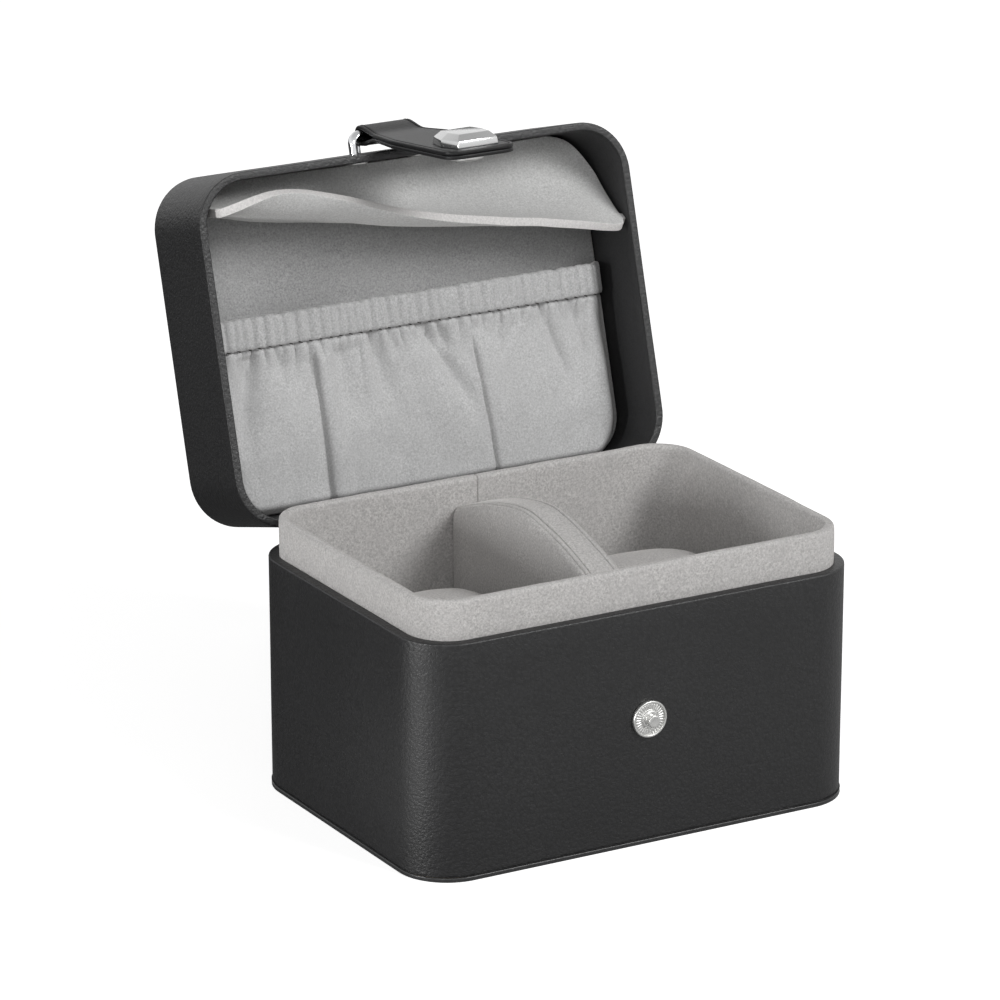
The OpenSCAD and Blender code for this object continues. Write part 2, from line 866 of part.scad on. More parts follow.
module snap_socket() {
    color("#cfcfca")
        on_flex()
            difference() {
                rod_y(socket_r, leather, leather + socket_t, 0, -snap_s);
                rod_y(socket_bore, leather + socket_floor, leather + socket_t + over, 0, -snap_s);
            }
}

module snap_spring() {
    color("#b5b5b0")
        on_flex()
            difference() {
                rod_y(socket_bore - fit, leather + spring_low, leather + spring_low + spring_t, 0, -snap_s);
                rod_y(post_r + spring_gap, leather, leather + socket_t + over, 0, -snap_s);
            }
}

// Divider

function arch(y) = divider_z - divider_drop * pow(abs(y - arch_y) / arch_span, 1.6);

// The board's shape, grown by grow, with its foot at foot
module board_shape(grow, foot) {
    steps = 20;
    half = divider_len / 2 - divider_inset + grow;
    top = [for (i = [0:steps]) let (y = half * (2 * i / steps - 1)) [y, arch(y) - divider_inset + grow]];
    translate([divider_x - divider_board_t / 2 - grow, 0, 0])
        rotate([90, 0, 90])
            linear_extrude(divider_board_t + 2 * grow)
                polygon(concat([[half, foot], [-half, foot]], top));
}

module divider_board() {
    color("#b8ab94")
        board_shape(0, pad_z + seat + divider_inset);
}

// Half the pad's thickness at height part q, 0 at the foot and 1 at the top
divider_side = [[0.72, 0], [0.88, 0.06], [1, 0.3], [1, 0.62], [0.98, 0.8],
    [0.92, 0.92], [0.78, 0.97], [0.58, 0.995], [0.3, 1]];

module divider_pad() {
    stations = 18;
    half = divider_len / 2;
    foot = pad_z + seat;
    other_side = [for (i = [len(divider_side) - 1:-1:0]) [-divider_side[i][0], divider_side[i][1]]];
    section = concat(divider_side, other_side);
    rings = [for (i = [0:stations]) let (y = half * (1 - 2 * i / stations), h = arch(y) - foot,
        pinch = 1 - 0.12 * pow(abs(y) / half, 6))
        [for (p = section) [divider_x + p[0] * pinch * divider_t / 2, y, foot + h * p[1]]]];
    color("#aeaaa6")
        difference() {
            loft(rings, [divider_x, half, (arch(half) + foot) / 2],
                [divider_x, -half, (arch(-half) + foot) / 2]);
            board_shape(board_gap, pad_z + seat - over);
        }
}

// Cushions

function middle(room) = (room[0] + room[1]) / 2;

// A stuffed roll, drawn in by inset: an oval from the side, crowned, its ends pulled in at the seams
module cushion(x, inset) {
    stations = 13;
    around = 28;
    half_w = cushion_w / 2 - inset;
    half_l = cushion_l / 2 - inset;
    half_h = cushion_h / 2 - inset;
    mid_z = pad_z + seat + cushion_flat * cushion_h / 2;
    rings = [for (i = [0:stations]) let (
        u = -cos(180 * (i + 0.35) / (stations + 0.7)),
        full = pow(1 - pow(abs(u), 4.5), 1 / 3.2),
        size = cushion_end + (1 - cushion_end) * full)
        [for (k = [0:around - 1]) let (
            a = 360 * k / around,
            c = cos(a),
            s = sin(a),
            r = 1 / pow(pow(abs(c), 2.6) + pow(abs(s), 2.6), 1 / 2.6))
            [x + half_w * u, r * c * half_l * size,
                mid_z + max(r * s * half_h * size, -half_h * cushion_flat)]]];
    loft([for (i = [stations:-1:0]) rings[i]],
        [x + half_w, 0, mid_z], [x - half_w, 0, mid_z]);
}

module cushion_cover(x) {
    difference() {
        cushion(x, 0);
        cushion(x, cover_t);
    }
}

module cushion_left_cover() {
    color("#b1aeaa")
        cushion_cover(middle(room_left));
}

module cushion_left_core() {
    color("#e2dccf")
        cushion(middle(room_left), cover_t + core_gap);
}

module cushion_right_cover() {
    color("#b1aeaa")
        cushion_cover(middle(room_right));
}

module cushion_right_core() {
    color("#e2dccf")
        cushion(middle(room_right), cover_t + core_gap);
}

base_board();
base_wrap();
base_plate();
floor_pad();
collar_board();
collar_velvet();
stud_flange();
stud_post();
stud_washer();
hinge_base_leaves();
hinge_base_rivets();
hinge_lid_leaves();
hinge_lid_rivets();
hinge_pins();
lid_board();
lid_wrap();
lid_wall_lining();
lid_foam();
lid_card_panel();
lid_velvet();
pocket_panel();
pocket_hem();
pocket_elastic();
flap_seam_tape();
flap_sheet();
strap_loop();
strap_loop_washers();
strap_fold();
strap_outer();
strap_lining();
clasp_plate();
clasp_rivet();
snap_socket();
snap_spring();
divider_board();
divider_pad();
cushion_left_cover();
cushion_left_core();
cushion_right_cover();
cushion_right_core();
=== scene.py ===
# %% [markdown]
# # A small travel case with a snap strap
# A small wrapped box: greyboard covered with black polyurethane leatherette outside and grey
# microfibre velvet inside. The lid stands open, held by two metal hinges behind. A leather strap
# with a metal clasp hangs from a chromed loop on the lid and snaps on a stud on the front.
# The CAD frame gives every solid in metres. This lesson dresses those solids: hard parts keep
# their shape and get a finish, and everything soft or rounded is modelled again in the same place.

# %% Start: load the CAD frame
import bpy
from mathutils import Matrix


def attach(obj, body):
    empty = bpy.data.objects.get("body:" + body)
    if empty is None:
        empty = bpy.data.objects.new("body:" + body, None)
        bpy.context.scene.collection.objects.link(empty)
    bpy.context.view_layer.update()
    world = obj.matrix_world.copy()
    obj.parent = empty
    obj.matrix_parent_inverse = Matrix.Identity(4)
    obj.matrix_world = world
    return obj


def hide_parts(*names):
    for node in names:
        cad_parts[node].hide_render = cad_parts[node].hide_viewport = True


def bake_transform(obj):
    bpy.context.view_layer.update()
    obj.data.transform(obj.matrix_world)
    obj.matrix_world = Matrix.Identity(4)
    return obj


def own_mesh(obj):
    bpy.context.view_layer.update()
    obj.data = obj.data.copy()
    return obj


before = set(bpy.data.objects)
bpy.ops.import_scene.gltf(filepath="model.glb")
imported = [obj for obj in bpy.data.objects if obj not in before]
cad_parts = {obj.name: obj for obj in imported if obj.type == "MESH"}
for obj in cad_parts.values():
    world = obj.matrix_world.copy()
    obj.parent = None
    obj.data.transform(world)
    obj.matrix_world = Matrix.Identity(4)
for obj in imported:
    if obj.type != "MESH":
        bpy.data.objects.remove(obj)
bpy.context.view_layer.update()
import math

import bmesh
import bpy
from mathutils import Matrix, Vector, noise

# %% [markdown]
# ## The case's sizes
# Everything is drawn in millimetres, as a box maker would, and turned to metres at the very end.
# These are the same sizes as in the CAD source: the outside of the case, its walls, its levels,
# the ends of the two rooms, the bar of the strap's loop, and the line that the lid turns about.

# %% Sizes in millimetres
MM = 0.001
case_w, case_d, corner_r = 125.0, 90.0, 13.6
base_h, lid_top, rim_z = 61.2, 88.7, 61.3
skin, velvet_t, lid_wall = 0.45, 0.6, 2.0
base_wall, collar_in, collar_z = 2.692, 5.292, 71.2
floor_z, pad_z, collar_hem_z, room_end = 3.2, 5.2, 49.2, 57.208
panel_z, lining_top, loop_y, loop_z = 81.7, 83.4, -49.6, 75.2
hinge_y, hinge_z, lid_open = 47.2, 61.2, 106.0
open_lid = (Matrix.Translation((0, hinge_y, hinge_z))
            @ Matrix.Rotation(math.radians(-lid_open), 4, "X")
            @ Matrix.Translation((0, -hinge_y, -hinge_z)))
print("lid turns about y", hinge_y, "z", hinge_z, "by", lid_open, "degrees")

# %% [markdown]
# ## Camera
# A product photographer stands well back with a long lens, so that the case's upright edges stay
# upright. The camera looks down on the case by 18 degrees, from 30 degrees to the left of its
# front.

# %% Camera
target = Vector((-16.04, 0, 78.71)) * MM
towards_camera = Vector((-0.4735, -0.8234, 0.3128)).normalized()
camera_distance, focal_length = 1.458, 212.83
camera = bpy.data.objects.new("camera", bpy.data.cameras.new("camera"))
camera.data.sensor_width = 36
camera.data.lens = focal_length
camera.data.clip_end = 20
camera.location = target + towards_camera * camera_distance
camera.rotation_mode = "QUATERNION"
camera.rotation_quaternion = towards_camera.to_track_quat("Z", "Y")
bpy.context.scene.collection.objects.link(camera)
bpy.context.scene.camera = camera
print("camera at", tuple(round(c, 3) for c in camera.location))

# %% [markdown]
# ## Colours and nodes
# Colours are written as sRGB hex values, as a swatch book gives them. Shaders work in linear
# light, so one function turns them over. A second function adds a shader node with its settings
# and links, and every material below is made with it. The small ones after it add a noise with
# grains of a given size, map one range of values to another, mix two colours, and raise a bump.

# %% Colour and node helpers
def colour(code):
    """The linear RGBA of an sRGB hex value."""
    parts = [int(code[i:i + 2], 16) / 255 for i in (1, 3, 5)]
    return (*(p / 12.92 if p <= 0.04045 else ((p + 0.055) / 1.055) ** 2.4 for p in parts), 1)


def plug(tree, node, sockets):
    """Link sockets to a node's inputs by name or number."""
    for key, socket in sockets.items():
        tree.links.new(socket, node.inputs[key])


def add(tree, kind, settings=None, links=None):
    """Add a shader node. A setting is an input's value, or an attribute if no input is so named."""
    node = tree.nodes.new("ShaderNode" + kind)
    for key, value in (settings or {}).items():
        if isinstance(key, int) or key in node.inputs:
            node.inputs[key].default_value = value
        else:
            setattr(node, key, value)
    plug(tree, node, links or {})
    return node


def new_material(name, settings):
    """A material with one Principled shader, its uniform values set on the shader's own sockets."""
    made = bpy.data.materials.new(name)
    made.use_nodes = True
    tree = made.node_tree
    shader = tree.nodes["Principled BSDF"]
    for key, value in settings.items():
        shader.inputs[key].default_value = value
    place = add(tree, "TexCoord").outputs["Object"]
    return made, tree, shader, place


def specks(tree, size, place, detail, roughness=0.5):
    """Noise with grains of size mm."""
    return add(tree, "TexNoise", {"Scale": 1 / (size * MM), "Detail": detail,
                                  "Roughness": roughness}, {"Vector": place}).outputs["Fac"]


def stretch(tree, value, low, high, to_low=0.0, to_high=1.0):
    """Map low..high of a value to to_low..to_high."""
    return add(tree, "MapRange", {"From Min": low, "From Max": high, "To Min": to_low,
                                  "To Max": to_high}, {"Value": value}).outputs["Result"]


def blend_colours(tree, factor, first, second, low=0.0, high=1.0):
    """Mix two colours by a factor that is first stretched from low..high to 0..1."""
    mix = add(tree, "Mix", {"data_type": "RGBA", 6: colour(first), 7: colour(second)},
              {0: stretch(tree, factor, low, high)})
    return mix.outputs[2]


def bump(tree, strength, depth, height, normal=None):
    """A bump of depth mm, laid over another one where that is given."""
    over = {"Normal": normal} if normal else {}
    return add(tree, "Bump", {"Strength": strength, "Distance": depth * MM},
               {"Height": height, **over}).outputs["Normal"]


print("mid grey #808080 in linear light:", round(colour("#808080")[0], 3))

# %% [markdown]
# ## Leatherette
# The box is wrapped in polyurethane leatherette: a thin skin cast on a release paper that carries
# a fine pebble grain, about 0.9 mm from pebble to pebble. It is matt black with a soft sheen,
# and the board under it is never quite flat, so a very low wave bends the reflections. The foot
# plate's skin is smoother, and its lighter grey is painted light, for the light that the white
# floor throws up onto the plate. The lid's lining is thinner and duller, and the strap is leather
# with a finer embossed grain.

# %% Leatherette
def leather_material(name, dark, light, roughness, pebble, depth, wave, specular=0.52):
    """Cast or embossed grain: rounded Voronoi cells of pebble mm, with a finer noise on top."""
    made, tree, shader, place = new_material(name, {"Specular IOR Level": specular, "IOR": 1.5})
    cells = add(tree, "TexVoronoi", {"feature": "SMOOTH_F1", "Scale": 1 / (pebble * MM),
                                     "Smoothness": 0.6, "Randomness": 0.9}, {"Vector": place})
    pores, drift = specks(tree, pebble / 2.4, place, 2), specks(tree, 28, place, 1)
    # The pebbles' middles are lighter and the gaps between them darker.
    pebble_tone = blend_colours(tree, cells.outputs["Distance"], light, dark, 0.15, 0.75)
    tint = add(tree, "Mix", {"data_type": "RGBA", 6: colour(dark)}, {0: drift, 7: pebble_tone})
    grain = add(tree, "Math", {"operation": "MULTIPLY_ADD", 1: -0.8},
                {0: cells.outputs["Distance"], 2: pores})
    low_wave = bump(tree, 0.5, wave, drift)
    plug(tree, shader, {
        "Base Color": tint.outputs[2],
        "Roughness": stretch(tree, pores, 0.3, 0.7, roughness - 0.05, roughness + 0.06),
        "Normal": bump(tree, 0.8, depth, grain.outputs["Value"], low_wave)})
    return made


leatherette = leather_material("pebbled polyurethane leatherette", "#101011", "#232324", 0.42,
                               pebble=0.9, depth=0.14, wave=0.12)
# The foot plate's lighter grey is painted light from the floor. Its lower roughness and shallower
# grain are its own.
foot_leatherette_painted_light = leather_material("smoother foot plate leatherette, lightened by painted light", "#252526", "#3a3a3b",
                                    0.32, pebble=0.9, depth=0.05, wave=0.1)
lining_leatherette = leather_material("thin polyurethane lining", "#1f1f20", "#2a2a2b", 0.6,
                                      pebble=0.7, depth=0.02, wave=0.2, specular=0.4)
strap_leather = leather_material("embossed strap leather", "#121213", "#1e1e1f", 0.4,
                                 pebble=0.6, depth=0.05, wave=0.1, specular=0.27)
print("black skins:", [m.name for m in (leatherette, foot_leatherette_painted_light, lining_leatherette,
                                        strap_leather)])

# %% [markdown]
# ## Velvet
# The lining is microfibre velvet: a dense pile about half a millimetre high. To the eye it is a
# matt grey with a fine speckle where the pile leans one way or the other, a few wider strokes
# where fingers have brushed it, and a soft bright edge where the pile is seen from the side,
# which is what the sheen layer gives. The pocket and its hem have greys of their own. The lid's
# panel is darker, which is painted shade for the shade that the flap casts. The flap is lighter,
# which is painted light, and the flap's edge is lighter still, a painted highlight where it catches
# the lamp.

# %% Velvet
def velvet_material(name, dark, light, shade):
    """Pile velvet: a speckle of 0.5 mm, strokes of a few millimetres and a sheen."""
    made, tree, shader, place = new_material(
        name, {"Roughness": 0.95, "Specular IOR Level": 0.15, "Sheen Weight": 0.35,
               "Sheen Roughness": 0.45, "Sheen Tint": colour("#f4f1ee")})
    pile, stroke = specks(tree, 0.5, place, 3, 0.7), specks(tree, 7, place, 2)
    speckle = blend_colours(tree, pile, dark, light, 0.28, 0.72)
    tint = add(tree, "Mix", {"data_type": "RGBA", 7: colour(shade)},
               {0: stretch(tree, stroke, 0.35, 0.7, 0, 0.35), 6: speckle})
    plug(tree, shader, {"Base Color": tint.outputs[2], "Normal": bump(tree, 0.6, 0.14, pile)})
    return made


grey_velvet = velvet_material("grey microfibre velvet", "#999796", "#d5d3d1", "#b3b1b0")
thin_velvet = velvet_material("thinner velvet of the pocket", "#a7a7a7", "#d9d9d9", "#bcbcbc")
hem_velvet = velvet_material("folded velvet of the hem", "#999999", "#d4d4d4", "#b2b2b2")
# The panel's velvet is darker as painted shade: the shade that the flap casts on the panel.
panel_velvet_painted_shade = velvet_material("lid velvet darkened by painted shade",
                               "#898989", "#c0c0c0", "#a2a2a2")
# The flap's velvet is lighter as painted light, for the light that its face catches.
flap_velvet_painted_light = velvet_material("flap velvet lightened by painted light", "#b2b2b1", "#e2e2e1", "#c7c7c6")
# The flap's edge velvet is lighter still: a painted highlight where the rounded edge catches the
# lamp.
edge_velvet_painted_highlight = velvet_material("flap edge velvet lightened as a painted highlight",
                              "#bdbbba", "#e2e0de", "#cfcdcc")
print("velvets:", [m.name for m in (grey_velvet, thin_velvet, hem_velvet, panel_velvet_painted_shade,
                                    flap_velvet_painted_light, edge_velvet_painted_highlight)])

# %% [markdown]
# ## Metals
# Four metals: the polished chromed loop, the satin nickel clasp, the stamped nickel of the snap,
# and the nickel-plated steel of the hinges. A metal's colour is its reflection, so the base colour
# is light and the roughness does the work. Brushing shows as a faint streaky change of roughness.

# %% Metals
def metal_material(name, tone, roughness, streak, spread):
    """Plated metal: roughness wanders by spread over streaks of streak mm."""
    made, tree, shader, place = new_material(name, {"Metallic": 1.0, "Base Color": colour(tone)})
    line = add(tree, "Mapping", {"Scale": (1, 8, 8)}, {"Vector": place})
    brush = specks(tree, streak, line.outputs["Vector"], 3)
    plug(tree, shader, {"Roughness": stretch(tree, brush, 0.3, 0.7, roughness - spread,
                                             roughness + spread)})
    return made


chrome = metal_material("polished chrome plate", "#dcdddf", 0.07, 6, 0.03)
clasp_nickel = metal_material("satin nickel clasp", "#cbcbcb", 0.17, 5, 0.02)
snap_nickel = metal_material("stamped nickel snap", "#d2d2d0", 0.36, 4, 0.03)
hinge_nickel = metal_material("nickel-plated hinge steel", "#c3c1bc", 0.33, 3, 0.07)
print("metals:", [m.name for m in (chrome, clasp_nickel, snap_nickel, hinge_nickel)])

# %% [markdown]
# ## Board, foam, elastic and thread
# What the case hides: pressed greyboard with paper fibres, lining card, open-cell foam, fibre
# filling and woven elastic. Last comes the dark thread of the pocket's stitches, which shows.

# %% Hidden materials and thread
def speckled_material(name, dark, light, roughness, size, depth):
    """A dull material with specks of size mm, such as pressed board, foam or thread."""
    made, tree, shader, place = new_material(name, {"Roughness": roughness,
                                                    "Specular IOR Level": 0.2})
    speck = specks(tree, size, place, 4)
    plug(tree, shader, {"Base Color": blend_colours(tree, speck, dark, light, 0.3, 0.7),
                        "Normal": bump(tree, 0.5, depth, speck)})
    return made


greyboard = speckled_material("pressed greyboard", "#857865", "#a2957f", 0.9, 1.5, 0.05)
card = speckled_material("lining card", "#b3a78f", "#c7bba4", 0.85, 1.2, 0.03)
foam = speckled_material("open-cell foam", "#cfc8b9", "#e6e0d3", 0.95, 0.9, 0.2)
filling = speckled_material("fibre filling", "#dcd6ca", "#efeae0", 0.95, 2.5, 0.4)
elastic = speckled_material("woven elastic", "#c9c6c0", "#dedbd5", 0.8, 0.6, 0.08)
stitch_thread = speckled_material("twisted stitch thread", "#353433", "#504e4c", 0.8, 0.3, 0.03)
print("hidden finishes:", [m.name for m in (greyboard, card, foam, filling, elastic)])

# %% [markdown]
# ## Helpers that shape the box
# Nearly every piece of a wrapped box is a strip of card, skin or cloth that runs round the same
# rounded outline. So one helper starts a bmesh circle, pulls its quarters apart into that outline,
# and then extrudes it edge by edge along a profile of (inset, height) points. Another rounds the
# corners of a profile, a third puts points along it, so that a surface can be bent a little, and
# a fourth gives the points of a flat face that runs in to the middle.

# %% Profile helpers
def rounded(points, steps=3):
    """Replace each corner (x, y, radius) of a closed or open profile by a short curve."""
    made = []
    for i, (x, y, r) in enumerate(points):
        here = Vector((x, y))
        before = Vector(points[i - 1][:2]) - here
        after = Vector(points[(i + 1) % len(points)][:2]) - here
        if r == 0:
            made.append(here)
            continue
        start, end = here + before.normalized() * r, here + after.normalized() * r
        for k in range(steps + 1):
            t = k / steps
            made.append(start * (1 - t) ** 2 + here * 2 * t * (1 - t) + end * t ** 2)
    return made


def spaced(points, longest, closed=True):
    """Add points along a profile so that none are further apart than longest."""
    made = []
    ends = points[1:] + points[:1] if closed else points[1:]
    for a, b in zip(points, ends):
        count = max(1, round((b - a).length / longest))
        made += [a.lerp(b, k / count) for k in range(count)]
    return made if closed else made + [points[-1]]


def level(z, *insets):
    """Profile points at one height."""
    return [Vector((inset, z)) for inset in insets]


print("a rounded corner has", len(rounded([(0, 0, 1), (9, 0, 0), (9, 9, 0)])), "points")


# %% The outline sweep
# Up to the inset LAST_ROUND the outline keeps its round corners; from there to CENTRE it shrinks
LAST_ROUND, CENTRE = 12.6, case_d / 2


def outline_edges(bm, arc, along):
    """The case's rounded outline as a loop of edges: a circle with its quarters pulled apart.

    Each vertex remembers the middle of its corner and its direction from it, and passes them on
    when it is extruded.
    """
    core = bm.verts.layers.float_vector.new("core")
    away = bm.verts.layers.float_vector.new("away")
    ring = bmesh.ops.create_circle(bm, segments=4 * arc, radius=corner_r,
                                   matrix=Matrix.Rotation(math.pi / 4 / arc, 4, "Z"))["verts"]
    reach = Vector((case_w / 2 - corner_r, case_d / 2 - corner_r))
    for v in ring:
        v.co.x += math.copysign(reach.x, v.co.x)
        v.co.y += math.copysign(reach.y, v.co.y)
    sides = [e for e in bm.edges if e.calc_length() > corner_r]
    bmesh.ops.subdivide_edges(bm, edges=sides, cuts=along)
    for v in bm.verts:
        v[core] = Vector((max(-reach.x, min(reach.x, v.co.x)),
                          max(-reach.y, min(reach.y, v.co.y)), 0))
        v[away] = (v.co - v[core]).normalized()
    return bm.edges[:], core, away


def extruded(bm, edges):
    """Extrude a loop of edges, and return the new loop's vertices and edges."""
    made = bmesh.ops.extrude_edge_only(bm, edges=edges)["geom"]
    verts = [g for g in made if isinstance(g, bmesh.types.BMVert)]
    fresh = set(verts)
    return verts, [g for g in made if isinstance(g, bmesh.types.BMEdge) and set(g.verts) <= fresh]


def sweep(profile, arc=10, along=16, closed=True):
    """Carry a profile of (inset, height) points round the outline."""
    bm = bmesh.new()
    edges, core, away = outline_edges(bm, arc, along)
    verts, first = bm.verts[:], edges
    for k, (inset, z) in enumerate(profile):
        if k:
            verts, edges = extruded(bm, edges)
        shrink = 1 - max(0, inset - LAST_ROUND) / (CENTRE - LAST_ROUND)
        for v in verts:
            v.co = (v[core] + v[away] * (corner_r - min(inset, LAST_ROUND))) * shrink
            v.co.z = z
    if closed:
        bmesh.ops.bridge_loops(bm, edges=first + edges)
    return bm


print("the outline is", case_w, "by", case_d, "mm with corners of", corner_r, "mm")

# %% [markdown]
# ## Finishing a piece
# Each piece ends the same way: doubles are merged, faces turned outwards, the lid's pieces swung
# open, millimetres turned to metres, and the mesh shaded smooth with its sharp edges kept.
# Then it rides on its CAD body, takes its finish, and stands for its nodes, which it hides.

# %% Piece helper
def keep(name, bm, finish, body, nodes=(), lid=False, sharp=40):
    """Turn a bmesh in millimetres into a finished object in the CAD frame."""
    bmesh.ops.remove_doubles(bm, verts=bm.verts, dist=0.003)
    bmesh.ops.recalc_face_normals(bm, faces=bm.faces)
    place = Matrix.Scale(MM, 4) @ (open_lid if lid else Matrix())
    bmesh.ops.transform(bm, matrix=place, verts=bm.verts)
    mesh = bpy.data.meshes.new(name)
    bm.to_mesh(mesh)
    bm.free()
    mesh.shade_smooth()
    mesh.set_sharp_from_angle(angle=math.radians(sharp))
    mesh.materials.append(finish)
    made = bpy.data.objects.new(name, mesh)
    bpy.context.scene.collection.objects.link(made)
    if body:
        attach(made, body)
    if nodes:
        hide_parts(*nodes)
    print(name, len(mesh.polygons), "faces")
    return made


def ripple(bm, size, height, seed, only=None):
    """Push vertices along their normals by a smooth noise of size mm and height mm."""
    bm.normal_update()
    for v in bm.verts:
        if only is None or only(v.co):
            v.co += v.normal * height * noise.noise(v.co / size + Vector((seed, seed * 2.3, 0)))


def clothe(names, finish):
    """Give CAD nodes whose shape is right a finish of their own."""
    for node_name in names:
        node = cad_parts[node_name]
        node.data.materials.clear()
        node.data.materials.append(finish)
        print(node_name, "keeps its CAD shape, in", finish.name)


# %% [markdown]
# ## Base: the wrapped box
# The leatherette is glued round the board, turned over the rim and trimmed against the collar.
# Under the box sits a thin wrapped plate, with a dark groove above it where the wrap ends.
# Both are outline sweeps with small rounded corners, because a folded skin has no sharp edge.

# %% Base wrap and plate
groove_z, trim = 1.24, base_wall - 0.03
base_profile = rounded([(0, 1.75, 0.3), (0.28, groove_z, 0.1), (0, base_h, 0.5),
                        (trim, base_h, 0.2), (trim, base_h - skin, 0.1),
                        (skin, base_h - skin, 0.1), (skin, groove_z, 0.05)], 4)
base_wrap = sweep(spaced(base_profile, 6), arc=14, along=18)
ripple(base_wrap, 24, 0.07, 3)
keep("base_wrap_skin", base_wrap, leatherette, "case", ["base_wrap"])

plate_t = 1.2
plate_profile = rounded([(LAST_ROUND, 0, 0), (0.1, 0, 0.35), (0.1, plate_t, 0.35),
                         (LAST_ROUND, plate_t, 0)], 4)
base_plate = sweep(level(0, CENTRE) + plate_profile + level(plate_t, CENTRE), arc=14, closed=False)
# The plate's lighter leatherette is painted light from the floor below.
keep("base_plate_wrapped", base_plate, foot_leatherette_painted_light, "case", ["base_plate"])
clothe(["base_board"], greyboard)

# %% [markdown]
# ## Base: the velvet collar
# The collar is a strip of card bent round inside the box, with velvet over both faces. It stands
# 10 mm above the rim, and its top is rounded by the cloth. The velvet's two ends meet in a fine
# seam in the middle of the back wall, where a shallow groove is pressed into the mesh.

# %% Collar
back_y, seam_x, seam_depth = 36, 0.25, 0.35
outer, inner, foot_z = base_wall + velvet_t, collar_in - velvet_t, floor_z + 0.05
collar_profile = rounded([(base_wall, collar_hem_z, 0.2), (base_wall, collar_z, 1.25),
                          (collar_in, collar_z, 1.25), (collar_in, foot_z, 0.2),
                          (inner, foot_z, 0.1), (inner, collar_z - velvet_t, 0.7),
                          (outer, collar_z - velvet_t, 0.7), (outer, collar_hem_z, 0.1)], 6)
collar = sweep(spaced(collar_profile, 3), arc=14, along=26)
for offset in (-0.7, -0.3, 0, 0.3, 0.7):
    cut = [e for e in collar.edges if min(v.co.y for v in e.verts) > back_y]
    cut += [v for v in collar.verts if v.co.y > back_y]
    cut += [f for f in collar.faces if f.calc_center_median().y > back_y]
    bmesh.ops.bisect_plane(collar, geom=cut, plane_co=(seam_x + offset, 0, 0), plane_no=(1, 0, 0))
ripple(collar, 9, 0.16, 5, lambda co: co.z > 62)
for v in collar.verts:
    if v.co.y > back_y and abs(v.co.x - seam_x) < 0.05:
        v.co += v.normal * -seam_depth
collar_piece = keep("collar_velvet_wrap", collar, grey_velvet, "case", ["collar_velvet"])
clothe(["collar_board"], card)

# %% [markdown]
# ## Base: the padded floor
# The floor is a thin pad under velvet. It is swept like the rest, and its edge is round.

# %% Floor pad
pad_edge = 5.4
floor_profile = rounded([(LAST_ROUND, floor_z, 0), (pad_edge, floor_z, 0.2),
                         (pad_edge, pad_z - 0.2, 0.9), (LAST_ROUND, pad_z, 0)], 4)
floor = sweep(level(floor_z, CENTRE) + floor_profile + level(pad_z, 20, CENTRE), closed=False)
floor_pad = keep("floor_pad_velvet", floor, grey_velvet, "case", ["floor_pad"])

# %% [markdown]
# ## Lid: wrap and rim
# The lid is a shallow tray of board, wrapped in one skin that runs over its top, down its sides
# and over the rim to the inside. It is drawn shut, as on the maker's bench, and swung open by the
# piece helper. Its rim is a flat band 2 mm wide, with small pleats where the skin is turned
# round the corners.

# %% Lid wrap
lid_profile = rounded([(LAST_ROUND, lid_top, 0), (0, lid_top, 1.1), (0, rim_z, 0.35),
                       (lid_wall, rim_z, 0.3), (lid_wall, rim_z + skin, 0.05),
                       (skin, rim_z + skin, 0.1), (skin, lid_top - skin, 0.6),
                       (LAST_ROUND, lid_top - skin, 0)], 4)
lid_points = level(lid_top, CENTRE, 34, 23) + spaced(lid_profile, 5, closed=False) \
    + level(lid_top - skin, CENTRE)
lid_wrap = sweep(lid_points, arc=16, along=18, closed=False)
ripple(lid_wrap, 26, 0.08, 7)


def pleat(bm, low, high, depth, folds):
    """Draw small radial pleats into the rounded corners between two heights, fading upwards."""
    for v in bm.verts:
        over_x = abs(v.co.x) - (case_w / 2 - corner_r)
        over_y = abs(v.co.y) - (case_d / 2 - corner_r)
        if over_x > 0 and over_y > 0 and low <= v.co.z <= high:
            turn = math.atan2(over_y, over_x) / (math.pi / 2)
            fade = math.sin(math.pi * turn) * (1 - (v.co.z - low) / (high - low))
            v.co.z += depth * fade * max(0, math.sin(turn * math.pi * folds)) ** 2


pleat(lid_wrap, rim_z - 0.2, rim_z + 0.3, 0.12, 9)
keep("lid_wrap_skin", lid_wrap, leatherette, "lid", ["lid_wrap"], lid=True)
clothe(["lid_board"], greyboard)

# %% [markdown]
# ## Lid: the wall lining
# Inside, the lid's walls are lined with a thinner black skin. It was bent into place by hand, so
# faint upright folds catch the light.

# %% Lid wall lining
face, back = lid_wall + 0.08, lid_wall - 0.3
lining_profile = rounded([(face, rim_z + 0.35, 0.1), (face, lining_top, 0),
                          (back, lining_top, 0), (back, rim_z + 0.5, 0)], 2)
lining = sweep(spaced(lining_profile, 2.5), arc=16, along=30)
for v in lining.verts:
    if v.co.z < lining_top - 0.4:
        angle = math.atan2(v.co.y / case_d, v.co.x / case_w)
        fold = noise.noise(Vector((angle * 9, v.co.z / 60, 4.2)))
        v.co.xy -= v.co.xy.normalized() * 0.12 * abs(fold)
keep("lid_wall_lining_skin", lining, lining_leatherette, "lid",
     ["lid_wall_lining"], lid=True)

# %% [markdown]
# ## Lid: the velvet panel
# A card covered with velvet closes the lid's inside. The cloth is pulled round the card's edge, so
# the panel's border falls away in a small curve. Foam lies behind it.

